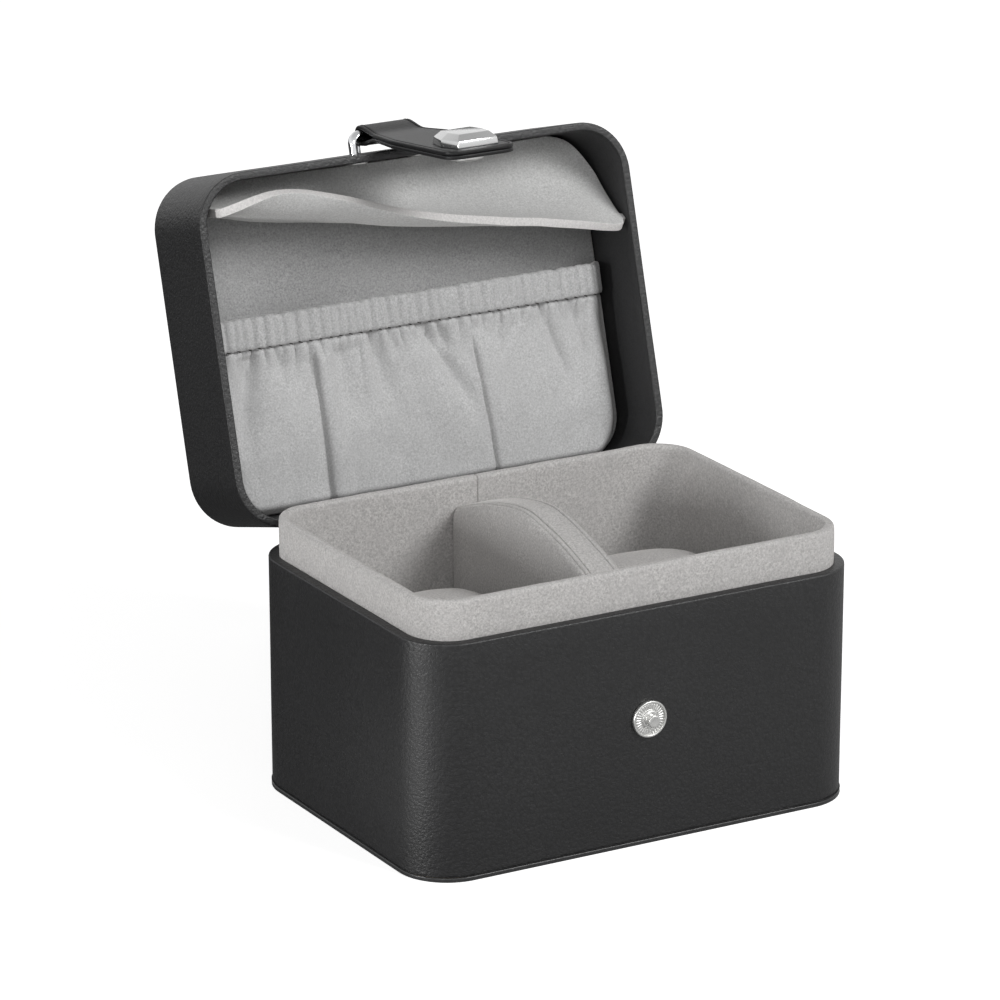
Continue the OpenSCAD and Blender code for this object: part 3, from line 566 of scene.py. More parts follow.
# %% Lid panel
panel_back, panel_edge = 82.3, 2.15
panel_profile = rounded([(LAST_ROUND, panel_z, 0), (panel_edge, panel_z + 0.1, 0.9),
                         (panel_edge, lining_top, 0), (2.7, lining_top, 0),
                         (2.7, panel_back + 0.1, 0.2), (LAST_ROUND, panel_back, 0)], 4)
panel_points = level(panel_z, CENTRE, 35, 25) + spaced(panel_profile, 3, closed=False) \
    + level(panel_back, CENTRE)
panel = sweep(panel_points, arc=12, along=30, closed=False)
# The panel takes the darker velvet, painted shade under the flap.
panel_piece = keep("lid_panel_velvet", panel, panel_velvet_painted_shade, "lid", ["lid_velvet"],
                   lid=True)
clothe(["lid_card_panel"], card)

foam_low, foam_high, foam_edge = 83.5, 86.2, 2.1
foam_profile = rounded([(LAST_ROUND, foam_low, 0), (foam_edge, foam_low, 0.3),
                        (foam_edge, foam_high, 0.3), (LAST_ROUND, foam_high, 0)], 3)
foam_block = sweep(level(foam_low, CENTRE) + foam_profile + level(foam_high, CENTRE), closed=False)
lid_foam = keep("lid_foam_sheet", foam_block, foam, "lid", ["lid_foam"], lid=True)

# %% [markdown]
# ## Lid: the gathered pocket
# The pocket is a strip of velvet that is drawn in by the elastic in its hem. So small gathers run
# down from the stitches and die out, and two deep folds reach the foot. A cloth simulation would
# put its folds anywhere, so the folds are drawn by one height function: it says how far the cloth
# stands off the panel at any place.

# %% The pocket's height
pocket_top, stitch_y, foot_y = -7.9, 0.1, 42.3
crease_w = 0.12


def ease(t):
    """A smooth step from 0 to 1."""
    t = min(max(t, 0), 1)
    return t * t * (3 - 2 * t)


def bell(value, middle, width):
    """A smooth hump of height 1."""
    return math.exp(-((value - middle) / width) ** 2)


def half_width(y, inset):
    """Half the outline's width at y, drawn in by inset."""
    past, r = abs(y) - (case_d / 2 - corner_r), corner_r - inset
    return case_w / 2 - corner_r + (math.sqrt(max(r * r - past * past, 0)) if past > 0 else r)


gathers = []
place_x = -59.0
while place_x < 59:
    wander = noise.noise(Vector((place_x * 1.7, 8.1, 0)))
    reach = abs(noise.noise(Vector((place_x * 1.3, 3.3, 1))))
    gathers.append((place_x, 0.92 + 0.3 * wander, 4 + 34 * reach * reach,
                    0.3 * noise.noise(Vector((place_x / 9, 1.4, 2)))))
    place_x += 2.75 + 2.2 * noise.noise(Vector((place_x * 2.1, 5.5, 0)))


def gather(x, t):
    """Height of the small gathers at x, t millimetres below the stitches."""
    height = 0
    for at, tall, long, lean in gathers:
        wide = 1.6 + 0.07 * max(t, 0)
        off = (x - at - lean * max(t, 0)) / wide
        if abs(off) < 1:
            height = max(height, tall * (1 - off * off) * (1 - ease(t / long)))
    return height * (1.35 if t > 0.6 else 1)


def pleated(d, valley, valley_w, ridge, ridge_w):
    """A deep fold: a soft valley to the left of the crease and a rounded ridge to its right."""
    side = 1 / (1 + math.exp(max(-40, min(40, -d / crease_w))))
    return -valley * math.exp(-abs(d / valley_w) ** 1.4) * (1 - side) \
        + ridge * bell(d, ridge_w * 0.7, ridge_w) * side


# Long soft valleys: x at the stitches, lean in mm per mm, width, depth, and how far below the
# stitches each starts and ends
valleys = [(-46.6, -0.22, 2.4, 2.3, 1, 30), (-39.0, 0.1, 1.4, 1.1, 0, 12),
           (-22.0, 0.12, 2.6, 1.0, 3, 26), (-11.5, 0.1, 2.3, 1.9, 0, 24),
           (-6.0, 0.2, 1.3, 1.1, 0, 9), (3.0, 0.5, 2.1, 2.1, 0, 31),
           (7.5, 0.35, 1.3, 1.2, 0, 10), (26.0, -0.1, 1.6, 1.3, 0, 13),
           (38.2, 0.3, 1.8, 1.8, 0, 29), (47.4, 0.16, 2.0, 1.5, 0, 23)]


def pocket_height(x, y):
    """How far the pocket's front stands off the panel at x, y."""
    t = y - stitch_y
    side = ease((half_width(y, 2.6) - abs(x)) / 6)
    foot = ease((foot_y + 0.8 - y) / 3.2)
    fold_a = pleated(x + 28.4, 0.9, 4.5, 1.25, 2.8) * ease((t - 1) / 5)
    fold_b = pleated(x - 17.4 - 0.07 * t, 0.9, 3.5, 0.6, 4.0) * ease((t - 2) / 8)
    soft = -sum(deep * bell(x, at + lean * t, wide * (1 + 0.03 * t)) * ease((t - first + 1.5) / 3)
                * (1 - ease((t - (first + last) / 2) / ((last - first) / 2)))
                for at, lean, wide, deep, first, last in valleys)
    drift = 0.8 * noise.noise(Vector((x / 11, y / 18, 3.7))) \
        + 0.3 * noise.noise(Vector((x / 4.5, y / 7, 6.1)))
    belly = (1.2 * math.sin(math.pi * ease(t / 44)) + drift) * ease((t - 1) / 8)
    pinch = 0.4 * bell(t, 0, 0.6)
    return 0.5 + 5.4 * side * foot + (belly + soft + fold_a + fold_b) * side * foot \
        + gather(x, t) * side - pinch


apart = (gathers[-1][0] - gathers[0][0]) / (len(gathers) - 1)
print(len(gathers), "gathers along the hem, on average", round(apart, 2), "mm apart")

# %% [markdown]
# The panel of the pocket is a fine grid laid on that height. Solidify gives the cloth its
# thickness.

# %% Pocket panel
def solidify(piece, thickness):
    """Give a sheet its thickness, half to each side, with a live modifier."""
    wall = piece.modifiers.new("cloth", "SOLIDIFY")
    wall.thickness, wall.offset, wall.use_even_offset = thickness * MM, 0, False


def soften(piece, name, width, segments):
    """Round the rims of a solidified sheet by width mm."""
    edge = piece.modifiers.new(name, "BEVEL")
    edge.width, edge.segments, edge.angle_limit = width * MM, segments, math.radians(60)
    return edge


pocket_t = 0.9
pocket = bmesh.new()
bmesh.ops.create_grid(pocket, x_segments=360, y_segments=96, size=1)
for v in pocket.verts:
    y = stitch_y - pocket_t + (v.co.y + 1) / 2 * (foot_y - stitch_y + pocket_t)
    x = v.co.x * half_width(y, 2.7)
    v.co = Vector((x, y, panel_z - pocket_height(x, y) + pocket_t / 2))
pocket_piece = keep("pocket_panel_velvet", pocket, thin_velvet, "lid",
                    ["pocket_panel"], lid=True, sharp=180)
solidify(pocket_piece, pocket_t)

# %% [markdown]
# ## Lid: hem, elastic and stitches
# The pocket's edge is folded over a woven elastic and sewn down. The elastic is shorter than the
# cloth, so the hem ruffles. Hem and elastic are flat tubes made from a grid that is rolled round
# a rounded section, and each stitch is a short tilted bead of thread in the pressed line.

# %% Hem, elastic and stitches
def mouth(x):
    """How far the pocket's mouth stands off the panel."""
    return 0.4 + 5.0 * ease((half_width(pocket_top, 2.6) - abs(x)) / 6)


def flat_tube(name, half_long, half_h, half_t, ruffle, finish, node, around=28, along=360):
    """Roll a grid into a flat tube in the pocket's mouth, ruffled in front and at the top."""
    middle_y = (pocket_top + stitch_y) / 2
    bm = bmesh.new()
    bmesh.ops.create_grid(bm, x_segments=along, y_segments=around, size=1)
    for v in bm.verts:
        x, turn = v.co.x * half_long, (v.co.y + 1) * math.pi
        c, s = math.cos(turn), math.sin(turn)
        squeeze = min(1, (half_long - abs(x)) / 0.8) ** 0.5
        dy = math.copysign(abs(c) ** 0.35, c) * half_h
        dz = math.copysign(abs(s) ** 0.7, s) * half_t * squeeze
        front, behind, top = max(0, s), max(0, -s), max(0, -dy / half_h)
        lift = gather(x, 0) * ruffle
        ragged = 0.3 * noise.noise(Vector((x / 3.1, 6.6, 0))) * ruffle
        rise = lift * (front ** 0.5 * (0.75 + 0.25 * top) - 0.4 * behind)
        v.co = Vector((x, middle_y + dy - top * (0.35 * lift + ragged),
                       panel_z - mouth(x) - half_t - dz - rise))
    bmesh.ops.remove_doubles(bm, verts=bm.verts, dist=0.001)
    bmesh.ops.holes_fill(bm, edges=[e for e in bm.edges if e.is_boundary], sides=0)
    keep(name, bm, finish, "lid", [node], lid=True, sharp=180)


hem_half = half_width(pocket_top, 2.6)
flat_tube("pocket_hem_velvet", hem_half - 0.1, (stitch_y - pocket_top) / 2, 1.0, 1.0,
          hem_velvet, "pocket_hem")
flat_tube("pocket_elastic_band", hem_half - 3.4, 2.6, 0.3, 0.0,
          elastic, "pocket_elastic", around=12, along=120)

stitches = bmesh.new()
stitch_x = -56.0
while stitch_x < 56.5:
    bead = bmesh.ops.create_uvsphere(stitches, u_segments=8, v_segments=5, radius=1)["verts"]
    height = panel_z - mouth(stitch_x) - 1.45 - 0.6 * gather(stitch_x, 0)
    spot = Matrix.Translation((stitch_x, stitch_y - 0.1, height)) \
        @ Matrix.Rotation(math.radians(24), 4, "Z") @ Matrix.Diagonal((0.72, 0.2, 0.2, 1))
    bmesh.ops.transform(stitches, matrix=spot, verts=bead)
    stitch_x += 2.9 + 0.3 * noise.noise(Vector((stitch_x, 0, 9)))
keep("pocket_stitches", stitches, stitch_thread, "lid", lid=True)

# %% [markdown]
# ## Lid: the padded flap
# A soft padded flap is sewn in along the lid's front edge and hangs over the pocket. It has taken
# a bow from lying in the shut lid: nearly flat at both ends, and curled up most left of the middle.
# Each place across it is an arc, given by its mean slope, the angle that it turns through and its
# length, and these change smoothly from one end to the other.

# %% Flap
# x, mean slope and turn in degrees, length
flap_table = [(-62, 76, 8, 22), (-57, 79, 20, 23.5), (-48, 86, 96, 28), (-39, 88, 131, 29),
              (-22, 76, 125, 29), (-6, 62, 121, 29), (8, 54, 110, 29), (22, 48, 98, 29),
              (40, 42, 76, 29), (54, 38, 40, 29.8), (62, 36.5, 26, 30.4)]
flap_root_y, flap_root_z, flap_drop = -42.3, panel_z - 1.6, 2.1
flap_half, flap_corner, flap_t = 59.6, 2.6, 2.2


def flap_arc(x):
    """Mean slope, turn and length of the flap at x, read from the table and smoothed."""
    total = [0, 0, 0]
    for shift in (-6, -3, 0, 3, 6):
        at = min(max(x + shift, flap_table[0][0]), flap_table[-1][0])
        for (xa, *a), (xb, *b) in zip(flap_table, flap_table[1:]):
            if xa <= at <= xb:
                part = (at - xa) / (xb - xa)
                total = [t + (p + (q - p) * part) / 5 for t, p, q in zip(total, a, b)]
                break
    return total


def flap_point(across, s):
    """A point of the flap: across from -1 to 1, s from 0 at the seam to 1 at the free edge."""
    x = across * flap_half
    for _ in range(2):
        slope, turn, length = flap_arc(x)
        first = math.radians(slope - turn / 2)
        r = length / math.radians(turn)
        a = first + math.radians(turn) * s
        y = flap_root_y + r * (math.sin(a) - math.sin(first))
        in_lid = half_width(min(y, -case_d / 2 + corner_r), 2.9)
        x = across * (in_lid if s < 0.9 else 59.4 + 1.1 * across)
    past = max(0, abs(x) - (flap_half - flap_corner)) / flap_corner
    pull = (1 - math.sqrt(max(0, 1 - past * past))) * flap_corner if s > 0.8 else 0
    if pull:
        a -= pull / length * math.radians(turn) * (s - 0.8) / 0.2
        y = flap_root_y + r * (math.sin(a) - math.sin(first))
    z = flap_root_z - r * (math.cos(first) - math.cos(a))
    return Vector((x, y + flap_drop * ease(s / 0.3), z))


flap = bmesh.new()
bmesh.ops.create_grid(flap, x_segments=150, y_segments=40, size=1)
for v in flap.verts:
    v.co = flap_point(v.co.x, (v.co.y + 1) / 2)
ripple(flap, 11, 0.25, 9)
# The flap's lighter velvet is painted light.
flap_piece = keep("flap_padded", flap, flap_velvet_painted_light, "flap", ["flap_sheet"],
                  lid=True, sharp=180)
solidify(flap_piece, flap_t)
# The rim of the flap takes the lighter velvet, a painted highlight along its edge.
flap_piece.data.materials.append(edge_velvet_painted_highlight)
flap_piece.modifiers["cloth"].material_offset_rim = 1
soften(flap_piece, "soft edge", 0.8, 4).harden_normals = False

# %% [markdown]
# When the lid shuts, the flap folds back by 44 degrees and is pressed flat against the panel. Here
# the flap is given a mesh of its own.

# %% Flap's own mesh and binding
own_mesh(flap_piece)


def break_edges(bm, width):
    """Round every edge of a bmesh by width mm."""
    bmesh.ops.bevel(bm, geom=bm.edges[:], offset=width, segments=3, profile=0.5,
                    affect="EDGES", material=-1)


tape = bmesh.new()
bmesh.ops.create_cube(tape, size=1)
bmesh.ops.scale(tape, vec=(101, 4.4, 0.8), verts=tape.verts)
bmesh.ops.translate(tape, vec=(0, -40.4, panel_z - 0.3), verts=tape.verts)
break_edges(tape, 0.3)
keep("flap_seam_binding", tape, grey_velvet, "lid", ["flap_seam_tape"], lid=True)

# %% [markdown]
# ## Divider
# A card between the two rooms, padded and covered. Its top is an arch; a strip of velvet about
# 7 mm wide runs along it, joined to the bulging sides by a double seam that shows as two fine
# lines with a small bead between them. A grid is wrapped over the arch to make it.

# %% Divider
divider_x, divider_end, divider_foot = -2.0, 39.3, 5.6


def arch(y):
    """Height of the divider's top at y."""
    return 73.2 - 11.5 * (abs(y - 5) / 40) ** 1.6


# Half the section: sideways distance in mm, and depth below the arch. Past 10 mm the depth is in
# parts of the side, which end at 64.9
straight_from, side_end = 10, 64.9
divider_side = [(0, 0), (1.6, 0.03), (2.8, 0.1), (3.15, 0.25), (3.3, 0.55), (3.45, 0.3),
                (3.9, 0.1), (4.35, 0.35), (4.5, 0.75), (4.7, 0.6), (5.2, 1.0), (5.7, 2.0),
                (5.95, 3.6), (6.0, 6.0), (6.0, straight_from), (6.0, 25), (5.8, 42), (5.1, 56),
                (4.4, side_end)]
section = [(-a, b) for a, b in reversed(divider_side[1:])] + divider_side
divider = bmesh.new()
bmesh.ops.create_grid(divider, x_segments=len(section) - 1, y_segments=90, size=1)
for v in divider.verts:
    a, b = section[round((v.co.x + 1) / 2 * (len(section) - 1))]
    y, top = v.co.y * divider_end, arch(v.co.y * divider_end)
    end = 1 - 0.14 * abs(v.co.y) ** 7
    part = max(0, b - straight_from) / (side_end - straight_from)
    depth = min(b, straight_from) + part * (top - divider_foot - straight_from)
    v.co = Vector((divider_x + a * end, y, top - depth))
bmesh.ops.holes_fill(divider, edges=[e for e in divider.edges if e.is_boundary], sides=0)
ripple(divider, 8, 0.22, 11, lambda co: co.z > 20)
divider_piece = keep("divider_padded", divider, grey_velvet, "divider",
                     ["divider_pad"], sharp=75)
clothe(["divider_board"], card)

# %% [markdown]
# ## Cushions
# Each room holds a stuffed roll. The cover is a tube of velvet with a rounded disc sewn in at
# each end. The filling crowns the tube and the seams pull it in, which makes small puckers at the
# ends. The tube is drawn as a ring that is extruded and shaped.

# %% Cushions
cushion_w, cushion_l, cushion_h = 46.0, 73.4, 47.0
flat_part = 0.97
cushion_foot = 5.5
cushion_mid_z = cushion_foot + flat_part * cushion_h / 2


def cushion_shell(middle_x, inset, stations=44, around=160):
    """A stuffed roll along X: an oval from the side, crowned, with seams at its ends."""
    bm = bmesh.new()
    turn = bm.verts.layers.float.new("turn")
    ring = bmesh.ops.create_circle(bm, segments=around, radius=1)["verts"]
    for v in ring:
        v[turn] = math.atan2(v.co.y, v.co.x)
    half_w, half_l, half_h = cushion_w / 2 - inset, cushion_l / 2 - inset, cushion_h / 2 - inset
    disc = (0.0, 0.25, 0.5, 0.7, 0.85, 0.95)
    path = [(-0.93, f) for f in disc] + [(0.93, f) for f in reversed(disc)]
    path[len(disc):len(disc)] = [(0.96 * (-1 + 2 * (k / stations)), 1.0)
                                 for k in range(stations + 1)]
    edges = bm.edges[:]
    for step, (u, f) in enumerate(path):
        if step:
            ring, edges = extruded(bm, edges)
        crown, near_end = 0.80 + 0.20 * (1 - abs(u) ** 3.2) ** 0.55, ease((abs(u) - 0.55) / 0.4)
        x = middle_x + half_w * (u + math.copysign((1 - f * f) * 0.05, u))
        for v in ring:
            a = v[turn]
            c, s = math.cos(a), math.sin(a)
            oval = 1 / (abs(c) ** 2.6 + abs(s) ** 2.6) ** (1 / 2.6)
            wander = 5 * noise.noise(Vector((c * 2, s * 2, u)))
            size = crown * (1 + 0.010 * math.sin(a * 27 + wander) * near_end) * f
            v.co = Vector((x, oval * c * half_l * size, oval * s * half_h * size))
            v.co.z = max(v.co.z, -flat_part * half_h) + cushion_mid_z
    return bm


print("a roll is", cushion_w, "wide,", cushion_l, "long and", cushion_h, "mm high")

# %% [markdown]
# Stuffing pushes the cover out everywhere but at its seams. Cloth simulation does the same: the
# seam rings are pinned, pressure blows up the rest, and the cloth, cut a little too large, puckers
# beside the seams. It runs ten times enlarged, because cloth behaves badly in millimetres, and no
# point may move further than a set reach, so that the roll still fits its room.

# %% Stuffing a cover
def stuff(bm, held, reach, lowest):
    """Blow up a bmesh in millimetres as cloth, with the held vertices pinned, and move it there."""
    scale = 0.01
    big = bpy.data.meshes.new("cloth")
    enlarged = bm.copy()
    bmesh.ops.scale(enlarged, vec=(scale,) * 3, verts=enlarged.verts)
    enlarged.to_mesh(big)
    enlarged.free()
    bag = bpy.data.objects.new("cloth", big)
    bpy.context.scene.collection.objects.link(bag)
    bag.vertex_groups.new(name="seams").add(held, 1.0, "REPLACE")
    cloth = bag.modifiers.new("cloth", "CLOTH")
    facts = cloth.settings
    facts.quality, facts.mass, facts.air_damping = 6, 0.15, 1.0
    facts.tension_stiffness = facts.compression_stiffness = 12
    facts.bending_stiffness = 0.3
    facts.shrink_min = -0.05
    facts.use_pressure, facts.uniform_pressure_force = True, 6
    facts.effector_weights.gravity = 0
    facts.vertex_group_mass = "seams"
    for frame_number in range(1, 21):
        bpy.context.scene.frame_set(frame_number)
    shaped = bag.evaluated_get(bpy.context.evaluated_depsgraph_get()).data
    places = [v.co / scale for v in shaped.vertices]
    bpy.data.objects.remove(bag)
    bpy.data.meshes.remove(big)
    bpy.context.scene.frame_set(1)
    bm.verts.ensure_lookup_table()
    furthest = 0
    for v, there in zip(bm.verts, places):
        move = there - v.co
        furthest = max(furthest, move.length)
        v.co += move * min(1, reach / max(move.length, 0.001))
        v.co.z = max(v.co.z, lowest)
    print("the cloth moved up to", round(furthest, 2), "mm, at most", reach, "mm of it was kept")


# %% Cushion pieces
# Each roll lies in the middle of its room, between the case's end and the divider
rooms = {"left": (-room_end - 8.0) / 2, "right": (4.0 + room_end) / 2}
cover_inset, core_inset = 0.9, 2.4
for side, middle_x in rooms.items():
    body = "cushion_" + side
    cover = cushion_shell(middle_x, cover_inset, stations=40, around=128)
    bmesh.ops.remove_doubles(cover, verts=cover.verts, dist=0.003)
    cover.verts.ensure_lookup_table()
    cover.verts.index_update()
    half_w = cushion_w / 2 - cover_inset
    seams = [v.index for v in cover.verts if 0.945 < abs(v.co.x - middle_x) / half_w < 0.975]
    stuff(cover, seams, 1.9, cushion_mid_z - flat_part * cushion_h / 2)
    ripple(cover, 9, 0.3, 13 + middle_x, lambda co: co.z > 8)
    cover_piece = keep(body + "_velvet", cover, grey_velvet, body, [body + "_cover"],
                       sharp=60)
    core = cushion_shell(middle_x, core_inset, stations=16, around=48)
    core_piece = keep(body + "_filling", core, filling, body, [body + "_core"], sharp=60)

# %% [markdown]
# ## The strap
# One strip of leather is folded round the chromed bar and its two halves are glued and stitched
# flat, so its edge shows two layers with a dark line between them. It widens towards a tip with
# rounded corners, and a fine creased line runs just inside its edge. It is one grid laid along the
# path of the strip: up the outer half, round the bar, and back along the inner half.

# %% Strap places
leather_t, strap_w, tip_w = 1.1, 14.7, 19.8
on_bar = open_lid @ Matrix.Translation((0, loop_y, loop_z)) \
    @ Matrix.Rotation(math.radians(8), 4, "X")
on_flex = open_lid @ Matrix.Translation((0, -47.234, 58.365)) \
    @ Matrix.Rotation(math.radians(9), 4, "X")
fold_l, snap_s, free_l, root_l = 17.0, 25.66, 35.16, 8.5
tip_s, bar_r = fold_l + free_l, 2.13
widening = (5, 19)


def strap_half(s):
    """Half the strap's width at s from the bar."""
    return (strap_w + (tip_w - strap_w) * ease((s - widening[0]) / widening[1])) / 2


def strap_row(s, side):
    """The strip's middle at s from the bar, and outwards there: side -1 is the outer half."""
    if s > fold_l:
        place, spread, flare = on_flex, leather_t / 2, 0
        s -= fold_l
    else:
        parted = ease((root_l - s) / root_l)
        place, spread, flare = on_bar, leather_t / 2 + 1.58 * parted, 0.15 * parted
    return place @ Vector((0, side * spread, -s)), place.to_3x3() @ Vector((0, side, flare))


print("strap from bar to tip", round(tip_s, 1), "mm")

# %% [markdown]
# The grid's rows lie closer near the bar and the tip, and its columns closer near the edges, where
# the crease runs. The tip's square corner is wrapped onto a round one of tip_r, row by row.

# %% Strap mesh
near_tip = [48.4, 49.1, 49.7, 50.2, 50.6, 50.9, 51.1, 51.3, 51.6, tip_s]
straight = [0.6, 1.5] + [2.5 + k * 1.25 for k in range(1, 37)] + near_tip
round_bar = [(0, math.pi * k / 10) for k in range(11)]
strap_rows = [(s, -1) for s in reversed(straight)] + round_bar + [(s, 1) for s in straight]
from_edge, edge_band = [0, 0.5, 0.8, 0.95, 1.1, 1.3, 1.7, 2.3], 3.0
strap_cols = [(-1, d) for d in from_edge] + [(0, k / 5) for k in range(-5, 6)] \
    + [(1, d) for d in reversed(from_edge)]
tip_r, crease_in, crease_depth = 4.0, 0.98, 0.2
strap = bmesh.new()
bmesh.ops.create_grid(strap, x_segments=len(strap_cols) - 1, y_segments=len(strap_rows) - 1, size=1)
for v in strap.verts:
    s, side = strap_rows[round((v.co.y + 1) / 2 * (len(strap_rows) - 1))]
    end, value = strap_cols[round((v.co.x + 1) / 2 * (len(strap_cols) - 1))]
    half = strap_half(s)
    x = end * (half - value) if end else value * (half - edge_band)
    crease = math.exp(-((min(half - abs(x), tip_s - s) - crease_in) / 0.2) ** 2)
    out_x, out_s = max(0, abs(x) - half + tip_r), max(0, s - tip_s + tip_r)
    if out_x and out_s:
        reach = max(out_x, out_s)
        around = math.pi / 4 * min(out_x, out_s) / reach
        if out_x <= out_s:
            around = math.pi / 2 - around
        x = math.copysign(half - tip_r + reach * math.cos(around), x)
        s = tip_s - tip_r + reach * math.sin(around)
    if s:
        place, out = strap_row(s, side)
    else:
        out = Vector((0, -math.cos(side), math.sin(side)))
        place, out = on_bar @ (out * bar_r), on_bar.to_3x3() @ out
    v.co = place + Vector((x, 0, 0)) - out * crease_depth * crease
strap_piece = keep("strap_leather_strip", strap, strap_leather, None,
                   ["strap_fold", "strap_outer", "strap_lining"], sharp=180)
solidify(strap_piece, leather_t - 0.06)
soften(strap_piece, "burnished edge", 0.3, 3).use_clamp_overlap = False
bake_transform(strap_piece)

# %% [markdown]
# ## Clasp plate
# A cast metal plate, satin plated, is riveted through the strap over the snap. It has six sides,
# upright edges and a flat table with sloped faces round it. One face is extruded up, inset with a
# rise to make the slopes, and every edge is beveled a little so that it catches the light.

# %% Clasp plate
waist, half_l, half_w = 5.76, 6.7, 7.2
side_h, slope_w, slope_h = 1.87, 2.1, 1.53
clasp = bmesh.new()
six_sides = ((-waist, -half_l), (waist, -half_l), (half_w, 0),
             (waist, half_l), (-waist, half_l), (-half_w, 0))
bmesh.ops.contextual_create(clasp, geom=[clasp.verts.new((x, y, 0)) for x, y in six_sides])
raised = bmesh.ops.extrude_face_region(clasp, geom=clasp.faces[:])["geom"]
raised = [g for g in raised if isinstance(g, bmesh.types.BMVert)]
bmesh.ops.translate(clasp, vec=(0, 0, side_h), verts=raised)
bmesh.ops.scale(clasp, vec=(0.965, 0.965, 1), verts=raised)
bmesh.ops.recalc_face_normals(clasp, faces=clasp.faces)
table = [f for f in clasp.faces if min(v.co.z for v in f.verts) > side_h - 0.07]
bmesh.ops.inset_region(clasp, faces=table, thickness=slope_w, depth=slope_h)
break_edges(clasp, 0.22)
outwards = Matrix.Rotation(math.pi / 2, 4, "X")
on_strap = on_flex @ Matrix.Translation((0, -leather_t + 0.02, -snap_s)) @ outwards
bmesh.ops.transform(clasp, verts=clasp.verts, matrix=on_strap)
keep("clasp_plate_cast", clasp, clasp_nickel, "strap_end", ["clasp_plate"])

# %% [markdown]
# ## Strap loop
# A 3 mm wire, bent square and chromed, goes through the lid's front wall with both its legs. It
# is one circle extruded along each straight run and spun through each bend.

# %% Strap loop
wire_r, loop_x, bend_r, leg_end = 1.5, 9.2, 1.9, 42.4


def run(bm, edges, step):
    """Extrude a loop of edges by a step and return the new loop."""
    verts, edges = extruded(bm, edges)
    bmesh.ops.translate(bm, vec=step, verts=verts)
    return edges


def bend(bm, edges, middle_x):
    """Spin a loop of edges through a quarter turn and return the last loop."""
    turned = bmesh.ops.spin(bm, geom=edges, cent=(middle_x, loop_y + bend_r, loop_z),
                            axis=(0, 0, 1), angle=math.pi / 2, steps=10, use_merge=False)
    return [g for g in turned["geom_last"] if isinstance(g, bmesh.types.BMEdge)]


wire = bmesh.new()
start = bmesh.ops.create_circle(wire, segments=28, radius=wire_r)["verts"]
in_wall = Matrix.Translation((-loop_x, -leg_end, loop_z)) @ outwards
bmesh.ops.transform(wire, matrix=in_wall, verts=start)
leg = loop_y + bend_r + leg_end
front = run(wire, wire.edges[:], (0, leg, 0))
front = bend(wire, front, bend_r - loop_x)
front = run(wire, front, (2 * (loop_x - bend_r), 0, 0))
front = bend(wire, front, loop_x - bend_r)
run(wire, front, (0, -leg, 0))
bmesh.ops.remove_doubles(wire, verts=wire.verts, dist=0.003)
bmesh.ops.holes_fill(wire, edges=[e for e in wire.edges if e.is_boundary], sides=0)
keep("strap_loop_wire", wire, chrome, "lid", ["strap_loop"], lid=True)

# %% [markdown]
# ## Snap: stud and socket
# The snap is stamped from sheet metal on a round die, so it is all profiles spun about an axis.
# The stud's flange has a rolled rim, a ring of fine ribs and a raised middle; the post stands in
# it with a rounded head. The socket under the strap has a hole with a wire spring in it.

# %% Spun pieces
def spun(profile, steps=96):
    """Spin a profile of (radius, height) in mm about Z."""
    bm = bmesh.new()
    verts = [bm.verts.new((r, 0, h)) for r, h in profile]
    edges = [bm.edges.new(pair) for pair in zip(verts, verts[1:])]
    bmesh.ops.spin(bm, geom=verts + edges, cent=(0, 0, 0), axis=(0, 0, 1), angle=2 * math.pi,
                   steps=steps, use_merge=True)
    bmesh.ops.remove_doubles(bm, verts=bm.verts, dist=0.002)
    return bm


def place_spun(name, bm, place, body, node, sharp=40):
    """Put a spun piece of the snap in its place and finish it."""
    bmesh.ops.transform(bm, matrix=place, verts=bm.verts)
    keep(name, bm, snap_nickel, body, [node], sharp=sharp)


# %% Stud
ribs, rib_low, rib_high, rib_up = 32, 2.52, 3.95, 0.13
hole_r, flange_r, under = 1.62, 4.75, 0.02
flange_profile = [(hole_r, under), (hole_r, 0.98)] \
    + rounded([(hole_r, 0.98, 0), (2.2, 0.98, 0.3), (2.38, 0.5, 0.12), (2.5, 0.48, 0)], 4)[1:] \
    + [(2.56, 0.5), (2.8, 0.5), (3.2, 0.5), (3.6, 0.5), (3.9, 0.5), (4.02, 0.47)] \
    + rounded([(4.05, 0.48, 0), (4.15, 0.9, 0.14), (4.62, 0.92, 0.2), (flange_r, 0.5, 0.1),
               (flange_r, under, 0)], 4) + [(hole_r, under)]
flange = spun(flange_profile, steps=256)
for v in flange.verts:
    if rib_low < v.co.xy.length < rib_high and v.co.z > 0.3:
        v.co.z += rib_up * (0.5 + 0.5 * math.cos(ribs * math.atan2(v.co.y, v.co.x)))
on_front = Matrix.Translation((0, -case_d / 2, 32.8)) @ outwards
place_spun("stud_flange_stamped", flange, on_front, "case", "stud_flange", sharp=50)

head_r, neck_r, post_top, post_end = 1.6, 1.44, 2.86, -3.1
post_profile = rounded([(0, 2.84, 0), (0.7, post_top, 0.3), (1.05, 2.9, 0.2),
                        (head_r, post_top, 0.22), (head_r, 2.2, 0.15), (neck_r, 2.1, 0.1),
                        (neck_r, 1.1, 0.1), (head_r, 0.95, 0.05), (head_r, post_end, 0.1),
                        (0, post_end, 0)], 3)
place_spun("stud_post_turned", spun(post_profile), on_front, "case", "stud_post")

